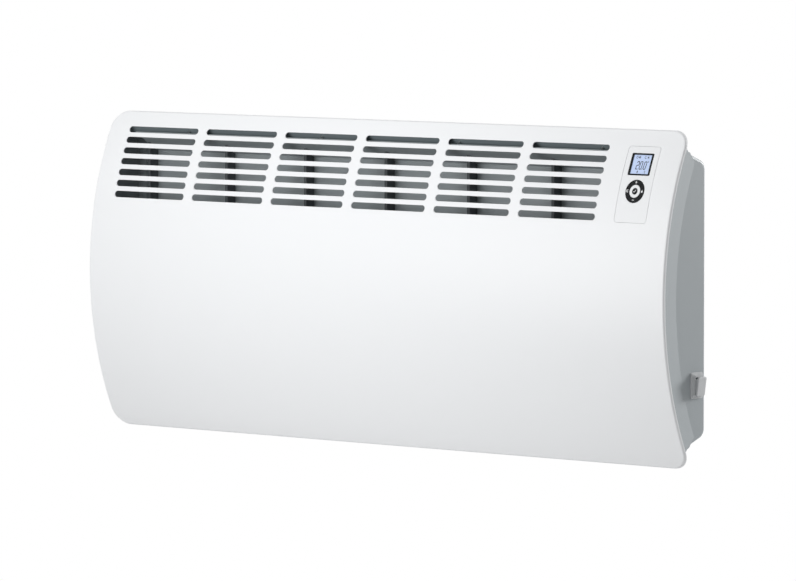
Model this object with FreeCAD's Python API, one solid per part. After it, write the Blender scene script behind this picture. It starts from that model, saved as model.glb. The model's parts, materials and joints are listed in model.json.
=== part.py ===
import FreeCAD, Part
import math
import os

# Wall-hung fan convector heater on its wall bracket, in millimetres.
# X runs along the heater, +Y points at the wall and +Z is up. The origin is the centre of the
# four wall screws, on the wall's own face. A depth is measured back from the panel's front line.

# ---- casing --------------------------------------------------------------------------------
PANEL_WIDTH = 1050.0
PANEL_HEIGHT = 450.0
CASING_DEPTH = 98.0         # panel's front line to the back of the side caps
WALL_GAP = 24.0             # wall to the back of the side caps
ARC_RADIUS = 482.0          # bow of the front panel
PANEL_SHEET = 1.2
PANEL_RETURN = 5.0          # depth of the panel's folded edge
PANEL_BEND = 2.4            # outer radius of that fold
PANEL_CORNER = 25.0
PANEL_TABS = 4              # screw tabs along the top, and as many along the bottom

SIDE_INSET = 6.0            # side caps stand back from the panel's ends
CAP_LENGTH = 30.0
CAP_WALL = 2.5
CAP_RIM = 5.0               # rounding of the cap's outer edge
CAP_FLARE = 3.5             # how far the cap's front strip opens outwards
CAP_STRIP = (3.0, 34.8)     # depths of the strip's hidden front edge and of its crease
CASING_DROP = (16.5, 29.0, 43.0)    # casing's three corners below the panel's top
SHOULDER_BACK = 2.6         # panel's face to the casing's first corner
SHOULDER_RUN = 11.5         # depth of the casing's first slope
BACK_CORNER = 14.0          # radius where the second slope meets the back

TRAY_SHEET = 1.0
TRAY_LAP = 12.0             # length of tray held inside each cap
BULKHEAD_INSET = 117.0      # panel's right end to the bulkhead
WIRE_HOLE_R = 9.0
FIT = 0.3                   # assembly clearance between sheet parts
RUN_FIT = 0.05              # radial clearance of a running shaft or pivot
SLIP = 0.03                 # radial clearance of parts fixed in one another
HOLE_PLAY = 0.2             # radial clearance of a screw in the outer sheet

# ---- outlet slots --------------------------------------------------------------------------
SLOT_COLUMNS = 6
SLOT_ROWS = 7
SLOT_HEIGHT = 9.4
SLOT_BRIDGE = 16.0          # metal left between two slots of a row
SLOT_PITCH_S = 16.05        # along the bowed sheet
SLOT_MARGINS = (39.2, 126.8)        # panel's left and right ends to the slots
SLOT_TOP_MARGIN = 28.5      # panel's top edge to the top row, along the sheet

# ---- controls ------------------------------------------------------------------------------
FASCIA_INSET = 66.3         # panel's right end to the fascia's centre
FASCIA_TOP_MARGIN = 24.7    # panel's top edge to the fascia, along the sheet
FASCIA_SIZE = (54.0, 105.4)
FASCIA_CORNER = 4.0
FASCIA_SEAM = 0.5
FASCIA_THICK = 3.0
FASCIA_LIP = 3.0            # width of the hidden flange round the fascia
DISPLAY_DROP = 25.1         # fascia's top edge to the display's centre
DISPLAY_SIZE = (37.2, 31.2)
DISPLAY_VIEW = (30.6, 27.0)
KEYS_DROP = 62.7            # fascia's top edge to the key ring's centre
KEY_RING_R = 15.75
KEY_ISLAND_R = 8.9
KEY_OK_R = 4.3
KEY_GAP = 0.3
KEY_TRAVEL = 0.7
KEY_PROUD = 0.5
KEY_STEM_R = 1.8
BOARD_DEPTH = 11.0          # control board behind the panel's face at the key ring
BOARD_TRIM = (2.0, 8.0)     # board smaller than the fascia by this much
BOARD_POST_INSET = 2.6
CARRIER_RIM = (5.2, 2.5)    # key carrier past the ring at its sides, and above and below
DISPLAY_FLANGE = 1.3
SWITCH_HEIGHT = 4.5         # tactile switch and its plunger
LCD_DEPTHS = (0.95, 2.55, 2.6, 4.6)     # glass, then the light behind it
SWITCH_BACK = 20.1          # back of the casing to the rocker switch's centre
SWITCH_Z = -114.1
SWITCH_STEPS = ((24.8, 35.0, 1.6), (21.8, 32.2, 3.0), (19.2, 29.6, 4.3), (17.0, 27.4, 5.4))
SWITCH_BODY = (20.0, 29.0, 22.0)
ROCKER_SIZE = (16.7, 25.6, 2.4)
ROCKER_PIVOT = 2.2          # pivot outside the cap's face
ROCKER_REACH = 8.0          # pivot to the middle of the rocker's face
ROCKER_TILT = 7.7           # degrees either side of the middle
PIN_R = 1.2
PIN_INSET = 3.0             # bezel's sides to the pin's ends

# ---- fan and heating element ---------------------------------------------------------------
FAN_HALF_LENGTH = 235.0
FAN_FILL = 0.64             # fan's radius over half the depth there is for it
FAN_DROP = 75.0             # fan's axis above the panel's bottom edge
FAN_BLADES = 24
FAN_RINGS = 4               # bays between the fan's rings
SHAFT_R = 3.0
ELEMENT_RISE = 72.0         # element above the fan's axis
ELEMENT_MARGINS = (55.0, 78.0)      # slots' left end and the bulkhead to the element
FIN_PITCH = 8.0
FIN_THICK = 0.5
FIN_HEIGHT = 34.0
HEATER_TUBE_R = 4.0
HEATER_TUBE_SPACING = 24.0

# ---- bracket -------------------------------------------------------------------------------
BRACKET_SHEET = 2.0
BRACKET_X = 300.0           # uprights, hooks and locks, left and right
SCREW_Z = 60.0              # wall screws above and below the origin
WALL_SCREW_R = 3.25
HOOK_Z = 80.0
HOOK_WIDTH = 28.0
HOOK_LIP = 10.0
LIFT = 12.5                 # how far the heater is raised to come off the hooks
LOCK_Z = -120.0
LOCK_SHAFT_R = 4.0
LOCK_HEAD = (18.0, 8.0, 3.0)
LOCK_LEVER = 68.0
LOCK_COLLAR = (8.0, 7.0)    # radius and length
LOCK_START = 0.3            # wall to the lock's inner end
HOOK_GRIP = 0.5             # hook's lip stands this far inside the tray's back
UPRIGHT_HALF = 22.0
RAIL_HALF = 13.0
RAIL_FOLD = 7.0
BUMPER_CLEAR = 0.6          # rubber feet to the wall

CABLE_INSET = 73.0          # panel's right end to the cable inlet
CABLE_Z = -152.0
CABLE_BORE_R = 4.6
GLAND_FLANGE = (10.0, 2.5)  # radius and thickness
GLAND_THREAD_R = 7.0
GLAND_NUT = (19.0, 4.5)     # width across flats and thickness

# ---- air intake and air guide --------------------------------------------------------------
INTAKE_ENDS = 20.0          # intake stops short of the element at each end
INTAKE_PLAIN = 15.88        # width of the slope left plain beside the intake
INTAKE_SHIFT = -3.5         # from the slope's middle, away from the rounded corner
INTAKE_LAP = 3.5            # grille plate past the intake, along both sides
INTAKE_ROWS = 4
GUIDE_STAND = 10.0          # upright part of the air guide to the casing's back
GUIDE_SHEET = 0.8
GUIDE_BEND = 57.0           # panel's top edge to the guide's bend
GUIDE_TOP = 13.0            # casing's front corner to the guide's top
RIB_SHEET = 1.2
RIB_FOLD = 5.0
RIB_DEPTH = 21.0            # rib's reach forward from the guide
RIB_START = 13.0            # slot column's left end to its rib
RIB_HANG = 78.0             # rib's length below the guide's bend

# ---- element and fan carriers, motor -------------------------------------------------------
PLATE_SHEET = 1.2
FOOT_LENGTH = 14.0          # foot folded on each carrier
FOOT_SCREW = 8.0            # carrier to its foot's screws
FOOT_GAP = 0.1              # foot to the tray's back
ELEMENT_PLATE_GAP = 8.0     # last fin to the carrier plate
ELEMENT_PLATE_HALF = 22.0
TUBE_TAIL = 22.0            # tube beyond the right carrier plate
FIN_COLLAR = 0.7
BEAD_LENGTH = 6.0
FAN_END_GAP = 6.0           # fan's end disc to the end plate
FAN_PLATE_RISE = (20.0, 26.0)       # end plate below and above the fan's axis
FAN_SCREW_Z = 15.0
FAN_SHEET = 1.6             # rings and end discs of the fan
BUSH_R = 6.0
BUSH_LENGTH = 9.0
MOTOR_GAP = 14.0            # right end plate to the stator
STATOR_SIDE = 44.0          # at most; a smaller fan has a smaller motor
STATOR_LENGTH = 20.0
ROTOR_SHARE = 12.0 / 44.0   # rotor's radius over the stator's side
AIR_GAP = 0.35
POST_INSET = 5.5            # stator's edge to the long screws
MOUNT_NECK_R = 4.0          # rubber mount where it passes through the end plate
STRAP_STAND = 12.0          # stator to the strap
STRAP_SHEET = 2.0

# ---- electronics ---------------------------------------------------------------------------
TERMINALS = 5
TERMINAL_PITCH = 11.0
WALL_CLEAR = 12.0           # bulkhead to the terminal block and the power board
POWER_BOARD = (66.0, 110.0)
POWER_BOARD_Z = 10.0
POWER_STAND = 7.0
BOARD_SHEET = 1.6
BOARD_HOLE_INSET = 4.0
SPACER_STUB_R = 1.6

# ---- screws, each as thread radius, length, head radius and head height ---------------------
PANEL_SCREW = (1.7, 6.0, 3.4, 2.2)
CAP_SCREW = (2.0, 7.0, 4.0, 2.4)
REAR_SCREW = (1.5, 6.0, 3.0, 1.8)
INTAKE_SCREW = (1.5, 5.0, 3.0, 1.8)
MOTOR_SCREW = (2.0, 4.0, 2.4)       # length follows the motor
HEAD_LIFT = 0.05            # a head stands this far off the sheet it holds

# ---- worked-out positions ------------------------------------------------------------------
HALF_W = PANEL_WIDTH / 2
HALF_H = PANEL_HEIGHT / 2
FRONT_Y = -(WALL_GAP + CASING_DEPTH)
ARC_Y = FRONT_Y + ARC_RADIUS
SKIN_R = ARC_RADIUS - PANEL_SHEET              # inner face of the front panel
EDGE_S = ARC_RADIUS * math.asin(HALF_H / ARC_RADIUS)
CAP_X = HALF_W - SIDE_INSET
CAP_IN_X = CAP_X - CAP_LENGTH
TRAY_X = CAP_IN_X + TRAY_LAP
TRAY_INSET = CAP_WALL + FIT
TRAY_BACK_Y = -WALL_GAP - TRAY_INSET           # outer face of the tray's back
TRAY_FACE_Y = TRAY_BACK_Y - TRAY_SHEET         # inner face of the tray's back
BULKHEAD_X = HALF_W - BULKHEAD_INSET
SLOT_LEFT = -HALF_W + SLOT_MARGINS[0]
SLOT_PITCH_X = (PANEL_WIDTH - sum(SLOT_MARGINS) + SLOT_BRIDGE) / SLOT_COLUMNS
SLOT_LENGTH = SLOT_PITCH_X - SLOT_BRIDGE
SLOT_TOP_S = EDGE_S - SLOT_TOP_MARGIN
FASCIA_X = HALF_W - FASCIA_INSET
FASCIA_TOP_S = EDGE_S - FASCIA_TOP_MARGIN
FASCIA_S = FASCIA_TOP_S - FASCIA_SIZE[1] / 2
DISPLAY_S = FASCIA_TOP_S - DISPLAY_DROP
KEYS_S = FASCIA_TOP_S - KEYS_DROP
SWITCH_Y = -WALL_GAP - SWITCH_BACK
CABLE_X = HALF_W - CABLE_INSET
X_AXIS = FreeCAD.Vector(1, 0, 0)
Y_AXIS = FreeCAD.Vector(0, 1, 0)
Z_AXIS = FreeCAD.Vector(0, 0, 1)


def arc_depth(z, radius=ARC_RADIUS):
    """Depth of a surface concentric with the front panel at a height."""
    return ARC_RADIUS - math.sqrt(radius * radius - z * z)


SHOULDER_DEPTH = arc_depth(HALF_H - CASING_DROP[0]) + SHOULDER_BACK
SHOULDER = ((SHOULDER_DEPTH, HALF_H - CASING_DROP[0]),
            (SHOULDER_DEPTH + SHOULDER_RUN, HALF_H - CASING_DROP[1]),
            (CASING_DEPTH, HALF_H - CASING_DROP[2]))
FAN_Z = -HALF_H + FAN_DROP
FAN_ROOM = (arc_depth(FAN_Z, SKIN_R), TRAY_FACE_Y - FRONT_Y)
FAN_Y = FRONT_Y + sum(FAN_ROOM) / 2
FAN_RADIUS = FAN_FILL * (FAN_ROOM[1] - FAN_ROOM[0]) / 2
ELEMENT_Z = FAN_Z + ELEMENT_RISE
ELEMENT_X = (SLOT_LEFT + ELEMENT_MARGINS[0], BULKHEAD_X - ELEMENT_MARGINS[1])
FIN_DEPTH = 2 * FAN_RADIUS + 2
STATOR = min(STATOR_SIDE, 2 * FAN_RADIUS)
ROTOR_R = ROTOR_SHARE * STATOR
STATOR_X = FAN_HALF_LENGTH + FAN_END_GAP + PLATE_SHEET + MOTOR_GAP
MOTOR_STRAP_X = STATOR_X + STATOR_LENGTH + STRAP_STAND
FOOT_Y = TRAY_FACE_Y - FOOT_GAP
HOOK_FACE_Y = TRAY_FACE_Y - HOOK_GRIP
INTAKE_X = (ELEMENT_X[0] + INTAKE_ENDS, ELEMENT_X[1] - INTAKE_ENDS)
GUIDE_DEPTH = CASING_DEPTH - GUIDE_STAND
BOARD_SIZE = (FASCIA_SIZE[0] - BOARD_TRIM[0], FASCIA_SIZE[1] - BOARD_TRIM[1])
FASCIA_RISE = FASCIA_S - KEYS_S
STEM_END = BOARD_DEPTH - SWITCH_HEIGHT - KEY_TRAVEL - 0.05
PIVOT_X = CAP_X + ROCKER_PIVOT


def vec(x, y, z):
    return FreeCAD.Vector(x, y, z)


def block(x0, x1, y0, y1, z0, z1):
    return Part.makeBox(x1 - x0, y1 - y0, z1 - z0, vec(x0, y0, z0))


def rod(start, axis, radius, length):
    return Part.makeCylinder(radius, length, start, axis)


def tube(start, axis, outer, inner, length):
    return rod(start, axis, outer, length).cut(rod(start, axis, inner, length))


def hexagon(start, axis, across, length):
    """Hexagonal bar whose width across flats is given."""
    corner = across / math.sqrt(3)
    bar = Part.makePolygon([vec(corner * math.cos(math.radians(60 * i)),
                                corner * math.sin(math.radians(60 * i)), 0) for i in range(7)])
    bar = Part.Face(bar).extrude(vec(0, 0, length))
    bar.Placement = FreeCAD.Placement(start, FreeCAD.Rotation(Z_AXIS, axis))
    return bar


def fuse(shapes):
    return shapes[0].multiFuse(shapes[1:]).removeSplitter() if len(shapes) > 1 else shapes[0]


def rounded_face(corners, lift):
    """Face with the outline (u, v, radius), each corner rounded; lift turns (u, v) into a point."""
    count = len(corners)
    points = [vec(u, v, 0) for u, v, _ in corners]
    edges = []
    ends = []
    for i, (u, v, radius) in enumerate(corners):
        here = points[i]
        back = (points[i - 1] - here).normalize()
        ahead = (points[(i + 1) % count] - here).normalize()
        if radius <= 0:
            ends.append((here, here, None))
            continue
        half = back.getAngle(ahead) / 2
        run = radius / math.tan(half)
        middle = (back + ahead).normalize()
        centre = here + middle * (radius / math.sin(half))
        ends.append((here + back * run, here + ahead * run, centre - middle * radius))
    for i in range(count):
        start, stop, mid = ends[i]
        if mid is not None:
            edges.append(Part.Arc(lift(start), lift(mid), lift(stop)).toShape())
        following = ends[(i + 1) % count][0]
        if (following - stop).Length > 1e-6:
            edges.append(Part.LineSegment(lift(stop), lift(following)).toShape())
    return Part.Face(Part.Wire(Part.__sortEdges__(edges)))


def rectangle(width, height, radius, cu=0.0, cv=0.0):
    u, v = width / 2, height / 2
    return [(cu - u, cv - v, radius), (cu + u, cv - v, radius),
            (cu + u, cv + v, radius), (cu - u, cv + v, radius)]


def plate_xz(corners, y0, y1):
    """Plate square to Y, from outline corners given as (x, z, radius)."""
    return rounded_face(corners, lambda p: vec(p.x, y0, p.y)).extrude(vec(0, y1 - y0, 0))


def plate_yz(corners, x0, x1):
    """Plate square to X, from outline corners given as (y, z, radius)."""
    return rounded_face(corners, lambda p: vec(x0, p.x, p.y)).extrude(vec(x1 - x0, 0, 0))


def behind(radius):
    """Everything behind a cylinder concentric with the bowed panel."""
    return rod(vec(-PANEL_WIDTH, ARC_Y, 0), X_AXIS, radius, 2 * PANEL_WIDTH)


def on_panel(shape, s):
    """Moves a shape made at the panel's foremost line to the arc length s above it."""
    moved = shape.copy()
    moved.rotate(vec(0, ARC_Y, 0), X_AXIS, -math.degrees(s / ARC_RADIUS))
    return moved


def inset_outline(points, distance):
    """Corners of a clockwise outline moved inwards by a distance."""
    count = len(points)
    lines = []
    for i in range(count):
        (u0, v0), (u1, v1) = points[i], points[(i + 1) % count]
        length = math.hypot(u1 - u0, v1 - v0)
        nu, nv = (v1 - v0) / length, -(u1 - u0) / length
        lines.append((nu, nv, nu * u0 + nv * v0 + distance))
    moved = []
    for i in range(count):
        a0, b0, c0 = lines[i - 1]
        a1, b1, c1 = lines[i]
        det = a0 * b1 - a1 * b0
        moved.append(((c0 * b1 - c1 * b0) / det, (a0 * c1 - a1 * c0) / det))
    return moved


def casing_outline(distance):
    """Casing section as (y, z), clockwise from the lower front, moved inwards by a distance."""
    far_front = FRONT_Y - 20.0
    upper = [(FRONT_Y + depth, half) for depth, half in SHOULDER]
    lower = [(y, -z) for y, z in reversed(upper)]
    outline = [(far_front, lower[-1][1]), (far_front, upper[0][1])] + upper + lower
    return inset_outline(outline, distance)


def casing_block(distance, x0, x1):
    """Solid with the casing's section, bounded in front far ahead of the panel."""
    corners = []
    for i, (y, z) in enumerate(casing_outline(distance)):
        corners.append((y, z, max(BACK_CORNER - distance, 1.0) if i in (4, 5) else 0.0))
    return plate_yz(corners, x0, x1)


def screw(seat, axis, radius, length, head_r, head_h):
    """Pan-head screw: seat is under the head and axis points from the head to the tip."""
    shank = rod(seat, axis, radius, length)
    head = rod(seat - axis * head_h, axis, head_r, head_h)
    head = head.makeFillet(head_h * 0.45, [e for e in head.Edges if on_plane(e, seat - axis * head_h, axis)])
    recess = hexagon(seat - axis * (head_h + 0.1), axis, head_r * 0.8, head_h * 0.6)
    return shank.fuse(head).removeSplitter().cut(recess)


def on_plane(edge, point, normal):
    """True for an edge that lies in the plane through point and isn't a seam."""
    ends = [edge.valueAt(edge.FirstParameter + f * (edge.LastParameter - edge.FirstParameter))
            for f in (0.0, 0.37, 0.71)]
    return all(abs((p - point).dot(normal)) < 1e-4 for p in ends)


def on_cylinder(edge, radius):
    """True for an edge that lies on a cylinder concentric with the front panel."""
    spots = [edge.valueAt(edge.FirstParameter + f * (edge.LastParameter - edge.FirstParameter))
             for f in (0.0, 0.37, 0.71, 1.0)]
    return all(abs(math.hypot(p.y - ARC_Y, p.z) - radius) < 1e-3 for p in spots)


# ---- casing sheets -------------------------------------------------------------------------
def panel_shell():
    """Bowed sheet with its edge folded back all round."""
    deep = FRONT_Y + arc_depth(HALF_H) + 25.0
    outer = plate_xz(rectangle(PANEL_WIDTH, PANEL_HEIGHT, PANEL_CORNER), FRONT_Y - 5.0, deep)
    outer = outer.common(behind(ARC_RADIUS)).cut(behind(ARC_RADIUS - PANEL_RETURN))
    outer = outer.makeFillet(PANEL_BEND, [e for e in outer.Edges if on_cylinder(e, ARC_RADIUS)])
    trim = 2 * PANEL_SHEET
    inner = plate_xz(rectangle(PANEL_WIDTH - trim, PANEL_HEIGHT - trim, PANEL_CORNER - PANEL_SHEET),
                     FRONT_Y - 5.0, deep)
    inner = inner.common(behind(SKIN_R))
    bend = PANEL_BEND - PANEL_SHEET
    inner = inner.makeFillet(bend, [e for e in inner.Edges if on_cylinder(e, SKIN_R)])
    return outer.cut(inner)


def tab_places():
    """X positions of the panel's screw tabs."""
    reach = BULKHEAD_X - 30.0
    return [-reach + 2 * reach * i / (PANEL_TABS - 1) for i in range(PANEL_TABS)]


def slope_frame(side):
    """Middle of the tray's first slope, and its outward normal, above (1) or below (-1)."""
    outline = casing_outline(TRAY_INSET)
    (y0, z0), (y1, z1) = (outline[2], outline[3]) if side > 0 else (outline[6], outline[7])
    if side < 0:
        (y0, z0), (y1, z1) = (y1, z1), (y0, z0)
    normal = vec(0, abs(z1 - z0), side * abs(y1 - y0)).normalize()
    return vec(0, (y0 + y1) / 2, (z0 + z1) / 2), normal


def panel_tabs():
    gap = TRAY_INSET + TRAY_SHEET + FIT
    band = casing_block(gap, -HALF_W, HALF_W).cut(casing_block(gap + PANEL_SHEET, -HALF_W, HALF_W))
    stop = FRONT_Y + SHOULDER[1][0] - 2.0
    tabs = []
    for x in tab_places():
        for side in (1, -1):
            z0, z1 = sorted((side * (SHOULDER[1][1] - 15.0), side * HALF_H))
            tabs.append(band.common(block(x - 9.0, x + 9.0, FRONT_Y, stop, z0, z1)))
    return [tab.common(behind(SKIN_R + 0.2)) for tab in tabs]


def panel_screw_sites():
    sites = []
    for x in tab_places():
        for side in (1, -1):
            middle, normal = slope_frame(side)
            sites.append((vec(x, middle.y, middle.z), normal))
    return sites


def slot_cutters():
    cutters = []
    for row in range(SLOT_ROWS):
        for column in range(SLOT_COLUMNS):
            x = SLOT_LEFT + SLOT_LENGTH / 2 + column * SLOT_PITCH_X
            outline = rectangle(SLOT_LENGTH, SLOT_HEIGHT, SLOT_HEIGHT / 2 - 0.01, x, 0.0)
            cutter = plate_xz(outline, FRONT_Y - 2.0, FRONT_Y + PANEL_SHEET + 1.5)
            cutters.append(on_panel(cutter, SLOT_TOP_S - row * SLOT_PITCH_S))
    return cutters


def fascia_block(grow, corner, front, back):
    outline = rectangle(FASCIA_SIZE[0] + 2 * grow, FASCIA_SIZE[1] + 2 * grow, corner, FASCIA_X, 0.0)
    return on_panel(plate_xz(outline, FRONT_Y + front, FRONT_Y + back), FASCIA_S)


def front_panel():
    panel = panel_shell().multiFuse(panel_tabs()).removeSplitter()
    holes = [rod(spot - normal * 8.0, normal, PANEL_SCREW[0] + SLIP, 10.0)
             for spot, normal in panel_screw_sites()]
    opening = fascia_block(FASCIA_SEAM, FASCIA_CORNER + FASCIA_SEAM, -5.0, 10.0)
    return panel.cut(slot_cutters() + holes + [opening])


def panel_screws():
    return [screw(spot + normal * HEAD_LIFT, normal * -1, *PANEL_SCREW)
            for spot, normal in panel_screw_sites()]


def cap_strip():
    """Wedge outside the cap's flat side whose face runs from the strip's front to the crease."""
    start, crease = CAP_STRIP
    slab = rod(vec(CAP_X, ARC_Y + start, 0), X_AXIS, ARC_RADIUS, CAP_FLARE)
    face = Part.Face(Part.Wire(Part.makeCircle(ARC_RADIUS, vec(CAP_X + CAP_FLARE, ARC_Y + start, 0), X_AXIS)))
    return slab.cut(face.extrude(vec(-CAP_FLARE, crease - start, 0)))


def cap_screw_sites():
    x = (CAP_IN_X + TRAY_X) / 2
    z = SHOULDER[2][1] - 30.0
    return [vec(x, -WALL_GAP, side * z * part) for side in (1, -1) for part in (1.0, 0.35)]


def side_cap():
    """Right-hand end cap."""
    front = rod(vec(0, ARC_Y + CAP_STRIP[0], 0), X_AXIS, ARC_RADIUS, HALF_W)
    strip = cap_strip()
    outer = casing_block(0.0, CAP_IN_X, CAP_X).fuse(strip.common(casing_block(0.0, CAP_X, HALF_W)))
    outer = outer.common(front).removeSplitter()
    rim = [e for e in outer.Edges if on_plane(e, vec(CAP_X, 0, 0), X_AXIS)
           and e.BoundBox.YMin > FRONT_Y + arc_depth(e.BoundBox.ZMax) + CAP_STRIP[1] - 0.5
           and (abs(e.BoundBox.ZMax) > SHOULDER[2][1] - BACK_CORNER - 1 or e.BoundBox.YMin > -WALL_GAP - 1)]
    outer = outer.makeFillet(CAP_RIM, rim)
    inner = casing_block(CAP_WALL, CAP_IN_X - 1, CAP_X - CAP_WALL)
    pocket = strip.copy()
    pocket.translate(vec(-CAP_WALL, 0, 0))
    inner = inner.fuse(pocket.common(casing_block(CAP_WALL, CAP_X - CAP_WALL - 1, HALF_W)))
    holes = [rod(spot + Y_AXIS, Y_AXIS * -1, CAP_SCREW[0] + HOLE_PLAY, 6.0) for spot in cap_screw_sites()]
    return outer.cut([inner] + holes)


def mirrored(shape):
    return shape.mirror(vec(0, 0, 0), X_AXIS)


def switch_opening():
    depth, height, _ = SWITCH_BODY
    return plate_yz(rectangle(depth + 2 * 0.2, height + 2 * 0.2, 1.2, SWITCH_Y, SWITCH_Z),
                    CAP_X - 6.0, CAP_X + 6.0)


def cap_screws():
    return [screw(spot + Y_AXIS * HEAD_LIFT, Y_AXIS * -1, *CAP_SCREW) for spot in cap_screw_sites()]


def hook_windows():
    windows = []
    half = HOOK_WIDTH / 2 + 2.0
    for x in (-BRACKET_X, BRACKET_X):
        windows.append(block(x - half, x + half, TRAY_FACE_Y - 5, TRAY_BACK_Y + 5,
                             HOOK_Z - HOOK_LIP - 6.0, HOOK_Z + 0.02))
    return windows


def lock_windows():
    """Upright slots in the tray's back that the locks' heads pass through when turned upright."""
    windows = []
    long = LOCK_HEAD[0] / 2 + 0.6
    wide = LOCK_HEAD[1] + 1.6
    for x in (-BRACKET_X, BRACKET_X):
        outline = [(x - wide / 2, LOCK_Z - LIFT - long, 1.5), (x + wide / 2, LOCK_Z - LIFT - long, 1.5),
                   (x + wide / 2, LOCK_Z + long, 1.5), (x - wide / 2, LOCK_Z + long, 1.5)]
        windows.append(plate_xz(outline, TRAY_FACE_Y - 5, TRAY_BACK_Y + 5))
    return windows


def lower_slope():
    """Ends of the tray's second lower slope, front first."""
    outline = casing_outline(TRAY_INSET)
    return outline[6], outline[5]


def intake_half():
    """Half the intake's width across the slope."""
    (y0, z0), (y1, z1) = lower_slope()
    return (math.hypot(y1 - y0, z1 - z0) - INTAKE_PLAIN) / 2


def on_slope(shape):
    """Moves a flat shape, thick along Z, onto the tray's lower slope."""
    (y0, z0), (y1, z1) = lower_slope()
    angle = math.degrees(math.atan2(z1 - z0, y1 - y0))
    moved = shape.copy()
    moved.translate(vec(0, INTAKE_SHIFT, 0))
    moved.rotate(vec(0, 0, 0), X_AXIS, angle)
    moved.translate(vec(0, (y0 + y1) / 2, (z0 + z1) / 2))
    return moved


def intake_screw_sites():
    return [INTAKE_X[0] - 8.0, INTAKE_X[1] + 8.0]


def rear_tray():
    tray = casing_block(TRAY_INSET, -TRAY_X, TRAY_X)
    tray = tray.cut(casing_block(TRAY_INSET + TRAY_SHEET, -TRAY_X - 1, TRAY_X + 1))
    tray = tray.common(behind(SKIN_R - FIT))
    holes = hook_windows() + lock_windows()
    holes.append(on_slope(block(INTAKE_X[0], INTAKE_X[1], -intake_half(), intake_half(), -5, 5)))
    holes += [on_slope(rod(vec(x, 0, -5), Z_AXIS, INTAKE_SCREW[0] + HOLE_PLAY, 10))
              for x in intake_screw_sites()]
    holes += [rod(spot - normal * 5.0, normal, PANEL_SCREW[0] + HOLE_PLAY, 8.0)
              for spot, normal in panel_screw_sites()]
    holes += [rod(spot + Y_AXIS, Y_AXIS * -1, REAR_SCREW[0] + HOLE_PLAY, 6) for spot in rear_screw_sites()]
    for spot in cap_screw_sites():
        holes.append(rod(spot, Y_AXIS * -1, CAP_SCREW[0] + SLIP, 8.0))
        holes.append(rod(vec(-spot.x, spot.y, spot.z), Y_AXIS * -1, CAP_SCREW[0] + SLIP, 8.0))
    holes.append(rod(vec(CABLE_X, 0, CABLE_Z), Y_AXIS * -1, GLAND_THREAD_R + SLIP, 60))
    holes.append(fascia_block(FASCIA_LIP + 1.0, FASCIA_CORNER, -5.0, 12.0))
    return tray.cut(holes)


def intake_grille():
    """Slotted plate over the intake window, inside the tray."""
    x0, x1 = INTAKE_X
    half = intake_half()
    plate = block(x0 - 14, x1 + 14, -half - INTAKE_LAP, half + INTAKE_LAP,
                  TRAY_SHEET + 0.05, TRAY_SHEET + 1.05)
    count = round((x1 - x0) / 40.0)
    pitch = (x1 - x0) / count
    gap = 0.69 * half / INTAKE_ROWS
    gaps = []
    for i in range(count):
        for j in range(INTAKE_ROWS):
            y = (j - (INTAKE_ROWS - 1) / 2) * 2 * half / INTAKE_ROWS
            gaps.append(block(x0 + i * pitch + 2.5, x0 + (i + 1) * pitch - 2.5, y - gap, y + gap, 0, 5))
    gaps += [rod(vec(x, 0, 0), Z_AXIS, INTAKE_SCREW[0] + SLIP, 5) for x in intake_screw_sites()]
    return on_slope(plate.cut(gaps))


def intake_screws():
    return [on_slope(screw(vec(x, 0, -HEAD_LIFT), Z_AXIS, *INTAKE_SCREW)) for x in intake_screw_sites()]


def bulkhead():
    """Sheet wall between the heated space and the electronics."""
    gap = TRAY_INSET + TRAY_SHEET + FIT
    wall = casing_block(gap, BULKHEAD_X, BULKHEAD_X + TRAY_SHEET).common(behind(SKIN_R - 1.0))
    foot = block(BULKHEAD_X, BULKHEAD_X + 12, TRAY_FACE_Y - FIT - TRAY_SHEET, TRAY_FACE_Y - FIT, -60, 150)
    wire_hole = rod(vec(BULKHEAD_X - 2, FAN_Y, ELEMENT_Z), X_AXIS, WIRE_HOLE_R, 5)
    return wall.fuse(foot).removeSplitter().cut(wire_hole)


def grommet():
    """Rubber ring lining the bulkhead's wire hole."""
    x = BULKHEAD_X + TRAY_SHEET / 2
    ring = tube(vec(x - 3.0, FAN_Y, ELEMENT_Z), X_AXIS, WIRE_HOLE_R + 2.5, WIRE_HOLE_R - 3.0, 6.0)
    groove = tube(vec(x - TRAY_SHEET / 2 - 0.1, FAN_Y, ELEMENT_Z), X_AXIS, WIRE_HOLE_R + 3.0,
                  WIRE_HOLE_R - SLIP, TRAY_SHEET + 0.2)
    return ring.cut(groove)


def guide_line():
    """Air guide's section as (depth, z), from the element to the top of the outlet."""
    top = SHOULDER[0][1] - GUIDE_TOP
    bend = HALF_H - GUIDE_BEND
    return [(GUIDE_DEPTH, ELEMENT_Z + 30.0), (GUIDE_DEPTH, bend), (arc_depth(top, SKIN_R) + 3.0, top)]


def guide_height(depth):
    """Height of the guide's sloping face at a depth."""
    _, (d1, z1), (d2, z2) = guide_line()
    return z1 + (z2 - z1) * (d1 - depth) / (d1 - d2)


def air_guide():
    """Bent sheet behind the outlet that turns the warm air forwards."""
    (d0, z0), (d1, z1), (d2, z2) = guide_line()
    front = [(d0, z0), (d1, z1), (d2, z2)]
    slope = math.hypot(d2 - d1, z2 - z1)
    nd, nz = (z2 - z1) / slope * GUIDE_SHEET, -(d2 - d1) / slope * GUIDE_SHEET
    back = [(d2 + nd, z2 + nz), (d1 + GUIDE_SHEET, z1 + nz * 0.4), (d0 + GUIDE_SHEET, z0)]
    corners = [(FRONT_Y + d, z, 0.0) for d, z in front + back]
    return plate_yz(corners, -TRAY_X + 25.0, BULKHEAD_X - 1.5)


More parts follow.
